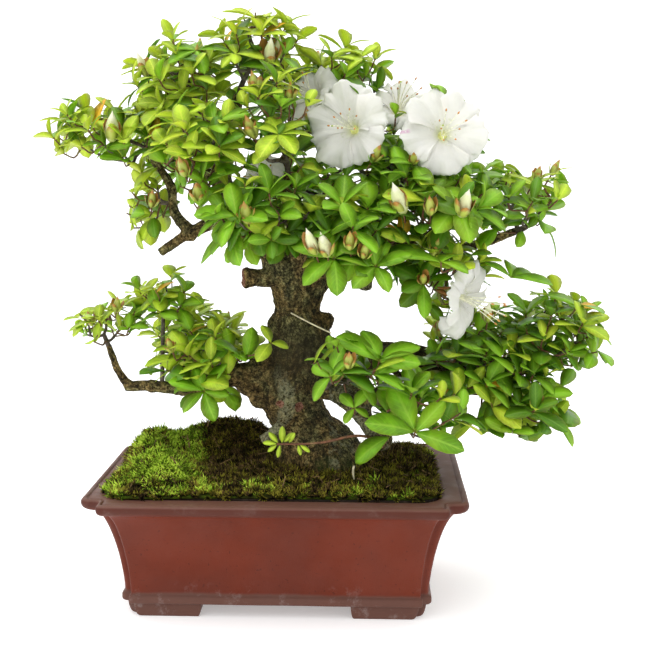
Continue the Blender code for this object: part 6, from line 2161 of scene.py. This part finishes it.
class AZALEA_OT_buds(bpy.types.Operator):
    """Set the closed and the opening buds"""

    bl_idname = "azalea.buds"
    bl_label = "Buds"

    def execute(self, context):
        picks = random.Random(BUD_SEED)
        buds = crown(context).buds
        dealt = {kind: [] for kind in BUD_KINDS}
        for bud in buds:
            up = bud.heading.orthogonal() + Vector([picks.uniform(-0.5, 0.5) for _ in range(3)])
            dealt[bud.kind].append(Sprig(bud.root, bud.heading, up, (bud.length,) * 3, picks.randrange(2)))
        for kind, (name, shapes, tints) in BUD_KINDS.items():
            shapes = [bud_shape(*row) for row in shapes]
            take_part(spray(name, dealt[kind], shapes, bud_finish(*tints)))
        bracts = []
        for bud in buds:
            side = bud.heading.orthogonal().normalized()
            for turn in turns_round(BRACT_COUNT):
                out = Matrix.Rotation(turn + picks.uniform(-0.3, 0.3), 3, bud.heading) @ side
                along = (bud.heading + out * picks.uniform(0.62, 0.95)).normalized()
                size = bud.length * picks.uniform(0.50, 0.76)
                bracts.append(Sprig(bud.root + out * 1.4, along, out, (size * 0.85, size, size), 0))
        scale = [leaf_shape(0.56, -0.3, 0.30, 0.0)]
        take_part(spray("bud_bracts", bracts, scale, bud_finish(*BRACT_TINT)))
        return {"FINISHED"}


class AZALEA_OT_flowers(bpy.types.Operator):
    """Open the flowers, with petals, stamens, pistil and calyx"""

    bl_idname = "azalea.flowers"
    bl_label = "Flowers"

    def execute(self, context):
        settings = context.scene.azalea_flowers
        petal = petal_finish(settings)
        filaments, anthers, stigmas, sepals, stalks, necks = [], [], [], [], [], []
        twig_points = [point for twig in crown(context).twigs for point in twig.points]
        for number, flower in enumerate(FLOWERS):
            take_part(flower_object(f"petals_{number + 1}", flower, petal))
            centre, side, other, facing = flower_frame(flower)
            runs, tips = stamen_runs(flower, settings.stamen_count, settings.stamen_length / MM)
            filaments += runs
            for spot, heading, pistil in tips:
                up = heading.orthogonal()
                if pistil:
                    stigmas.append(Sprig(spot - heading * 0.5, heading, up, (1.8, 1.6, 1.8), 0))
                else:
                    anthers.append(Sprig(spot - heading * 0.4, heading, up, (1.5, 2.9, 1.5), 0))
            neck = centre - facing * NECK_LENGTH
            throat = centre - facing * (FLOWER_DEPTH - 1.5)
            necks.append(([neck, neck + facing * 4.0, throat], [1.8, 2.5, 3.3]))
            for turn in turns_round(PETALS):
                out = between(side, other, turn)
                along = (facing + out * 0.45).normalized()
                sepals.append(Sprig(neck - facing * 2.0 + out * 1.6, along, -out, (7.0, 12.0, 9.0), 0))
            nearest = min(twig_points, key=lambda point: (point - neck).length)
            path = smooth_path((nearest, nearest.lerp(neck, 0.6) - facing * 2.0, neck + facing), 3.0)
            stalks.append((path, [1.2] * len(path)))
        neck_finish = plain_finish("flower neck", (0.70, 0.72, 0.26), 0.55)
        take_part(tubes_along("flower_necks", necks, neck_finish, 12))
        filament = plain_finish("filament", (0.86, 0.86, 0.66), 0.5)
        take_part(tubes_along("filaments", filaments, filament, 5))
        grain = [bud_shape(0.8, 0.05, 0.0, slim=0.82)]
        take_part(spray("anthers", anthers, grain, plain_finish("anther", (0.58, 0.27, 0.07), 0.7)))
        take_part(spray("stigmas", stigmas, grain, plain_finish("stigma", (0.42, 0.52, 0.12), 0.5)))
        sepal = [leaf_shape(0.62, 0.3, -0.1, 0.0)]
        take_part(spray("calyx", sepals, sepal, bud_finish(*CALYX_TINT)))
        stalk = plain_finish("flower stalk", (0.22, 0.24, 0.05), 0.6)
        take_part(tubes_along("flower_stalks", stalks, stalk, 8))
        return {"FINISHED"}


def litter_runs(picks):
    """Strew dry needles over the moss, off the trunk's foot and the rim."""
    paths = []
    while len(paths) < LITTER_COUNT:
        x, y = picks.uniform(-100.0, 108.0), picks.uniform(-66.0, 66.0)
        if inside_distance(x, y) < LITTER_INSET or math.hypot(x - LITTER_FREE[0], y) < LITTER_FREE[1]:
            continue
        turn = picks.uniform(0.0, math.pi)
        reach = picks.uniform(2.0, 6.0)
        path = []
        for step in (-1.0, 0.0, 1.0):
            px, py = x + step * reach * math.cos(turn), y + step * reach * math.sin(turn)
            lift = 2.6 + picks.uniform(-1.0, 1.2)
            path.append(Vector((px, py, MOSS_BASE + moss_height(px, py) + lift)))
        paths.append(smooth_path(path, 2.0))
    return [(path, [picks.uniform(0.25, 0.6)] * len(path)) for path in paths]


class AZALEA_OT_details(bpy.types.Operator):
    """Lay the dry stalk, the root thread and the thin sucker with its small leaves"""

    bl_idname = "azalea.details"
    bl_label = "Small details"

    def execute(self, context):
        bits = []
        for marks, step, radius in DRY_BITS:
            path = smooth_path([seen_at(*mark) for mark in marks], step)
            bits.append((path, [radius] * len(path)))
        dry = plain_finish("dry straw", (0.74, 0.67, 0.44), 0.6)
        take_part(tubes_along("dry_bits", bits, dry))
        sucker = smooth_path([SUCKER_ROOT] + [seen_at(*mark) for mark in SUCKER], 3.0)
        sizes = [1.15 - 0.5 * index / (len(sucker) - 1) for index in range(len(sucker))]
        young = shade(context.scene.azalea_twigs.young_colour, 1.3)
        bark = twig_finish("sucker bark", young, (0.30, 0.20, 0.08))
        take_part(tubes_along("sucker", [(sucker, sizes)], bark))
        facing = Vector((0.1, -1.0, 0.6))
        small = [Sprig(seen_at(across, down, depth), Vector(heading).normalized(), facing, (length,) * 3,
                       number % 2)
                 for number, (across, down, depth, heading, length) in enumerate(SUCKER_LEAVES)]
        shapes = [leaf_shape(0.38, 0.2, 0.1, 0.1), leaf_shape(0.44, 0.1, 0.2, -0.1)]
        tint = leaf_finish("sucker leaf", context.scene.azalea_leaves.fresh_colour, 0.5)
        take_part(spray("sucker_leaves", small, shapes, tint))
        straw = plain_finish("litter", (0.20, 0.12, 0.05), 0.8, 90.0, 0.7)
        take_part(tubes_along("moss_litter", litter_runs(random.Random(LITTER_SEED)), straw, 5))
        return {"FINISHED"}


def faced(name, data, spot, heading):
    """Set a lamp or a camera at a place, looking one way."""
    made = new_object(name, data)
    made.location = placed(spot)[0]
    made.rotation_mode = "QUATERNION"
    made.rotation_quaternion = heading.to_track_quat("-Z", "Y")
    return made


class AZALEA_OT_stage(bpy.types.Operator):
    """Set the floor, the light and the camera"""

    bl_idname = "azalea.stage"
    bl_label = "Stage"

    def execute(self, context):
        settings = context.scene.azalea_stage
        scene = context.scene
        bend = [math.radians(angle) for angle in range(10, 91, 10)]
        profile = [(FLOOR_FRONT, 0.0), (FLOOR_BACK, 0.0)]
        profile += [(FLOOR_BACK + BEND_RADIUS * math.sin(turn), BEND_RADIUS * (1.0 - math.cos(turn)))
                    for turn in bend]
        profile.append((FLOOR_BACK + BEND_RADIUS, BACKDROP_TOP))
        count = len(profile)
        vertices = [Vector((x, y, z)) for x in (-FLOOR_SIDE, FLOOR_SIDE) for y, z in profile]
        faces = [(k, count + k, count + k + 1, k + 1) for k in range(count - 1)]
        floor = mesh_object("floor", (vertices, faces), recalculate=False)
        finish = Finish("floor paper", 0.8, {
            "Emission Color": WHITE, "Emission Strength": settings.floor_glow})
        floor.data.materials.append(finish.dress(finish.mix(
            finish.noise(3.0, 2.0), settings.floor_colour, shade(settings.floor_colour, 0.985))))
        floor.data.polygons.foreach_set("use_smooth", [True] * len(floor.data.polygons))
        world = bpy.data.worlds.new("even light")
        world.use_nodes = True
        background = world.node_tree.nodes["Background"]
        background.inputs["Color"].default_value = WHITE
        background.inputs["Strength"].default_value = settings.sky_strength
        scene.world = world
        for name, spot, share, size in LIGHTS:
            lamp = bpy.data.lights.new(name, "AREA")
            lamp.energy = settings.key_power * share
            lamp.shape = "SQUARE"
            lamp.size = size * MM
            faced(name, lamp, spot, LIGHTS_FACE - Vector(spot))
        lens = bpy.data.cameras.new("camera")
        lens.sensor_fit = "HORIZONTAL"
        lens.sensor_width = SENSOR_WIDTH
        lens.lens = CAMERA_PIXELS * SENSOR_WIDTH / PICTURE_SIDE
        lens.clip_start = 0.05
        lens.clip_end = 50.0
        scene.camera = faced("camera", lens, CAMERA_SPOT, CAMERA_HEADING)
        scene.view_settings.view_transform = "Standard"
        return {"FINISHED"}


class AZALEA_PT_panel(bpy.types.Panel):
    """List the pieces, each with its settings"""

    bl_idname = "AZALEA_PT_panel"
    bl_label = "Azalea bonsai"
    bl_space_type = "VIEW_3D"
    bl_region_type = "UI"
    bl_category = "Azalea"

    def draw(self, context):
        for operator in OPERATORS:
            self.layout.operator(operator.bl_idname)
        for attribute, group in SETTINGS:
            box = self.layout.box()
            box.label(text=group.__doc__)
            settings = getattr(context.scene, attribute)
            for name in group.__annotations__:
                box.prop(settings, name)


SETTINGS = (
    ("azalea_pot", AzaleaPotSettings), ("azalea_moss", AzaleaMossSettings),
    ("azalea_wood", AzaleaWoodSettings), ("azalea_twigs", AzaleaTwigSettings),
    ("azalea_leaves", AzaleaLeafSettings), ("azalea_flowers", AzaleaFlowerSettings),
    ("azalea_stage", AzaleaStageSettings),
)
OPERATORS = (
    AZALEA_OT_stage, AZALEA_OT_pot, AZALEA_OT_soil, AZALEA_OT_moss, AZALEA_OT_wood, AZALEA_OT_twigs,
    AZALEA_OT_leaves, AZALEA_OT_buds, AZALEA_OT_flowers, AZALEA_OT_details,
)


def register():
    """Register the settings, the operators and the panel."""
    for attribute, group in SETTINGS:
        bpy.utils.register_class(group)
        setattr(bpy.types.Scene, attribute, PointerProperty(type=group))
    for operator in OPERATORS:
        bpy.utils.register_class(operator)
    bpy.utils.register_class(AZALEA_PT_panel)


def unregister():
    """Take the panel, the operators and the settings out again."""
    bpy.utils.unregister_class(AZALEA_PT_panel)
    for operator in reversed(OPERATORS):
        bpy.utils.unregister_class(operator)
    for attribute, group in reversed(SETTINGS):
        delattr(bpy.types.Scene, attribute)
        bpy.utils.unregister_class(group)


def main():
    """Make every piece in order."""
    register()
    bpy.ops.azalea.stage()
    bpy.ops.azalea.pot()
    bpy.ops.azalea.soil()
    bpy.ops.azalea.moss()
    bpy.ops.azalea.wood()
    bpy.ops.azalea.twigs()
    bpy.ops.azalea.leaves()
    bpy.ops.azalea.buds()
    bpy.ops.azalea.flowers()
    bpy.ops.azalea.details()


if __name__ == "__main__":
    main()
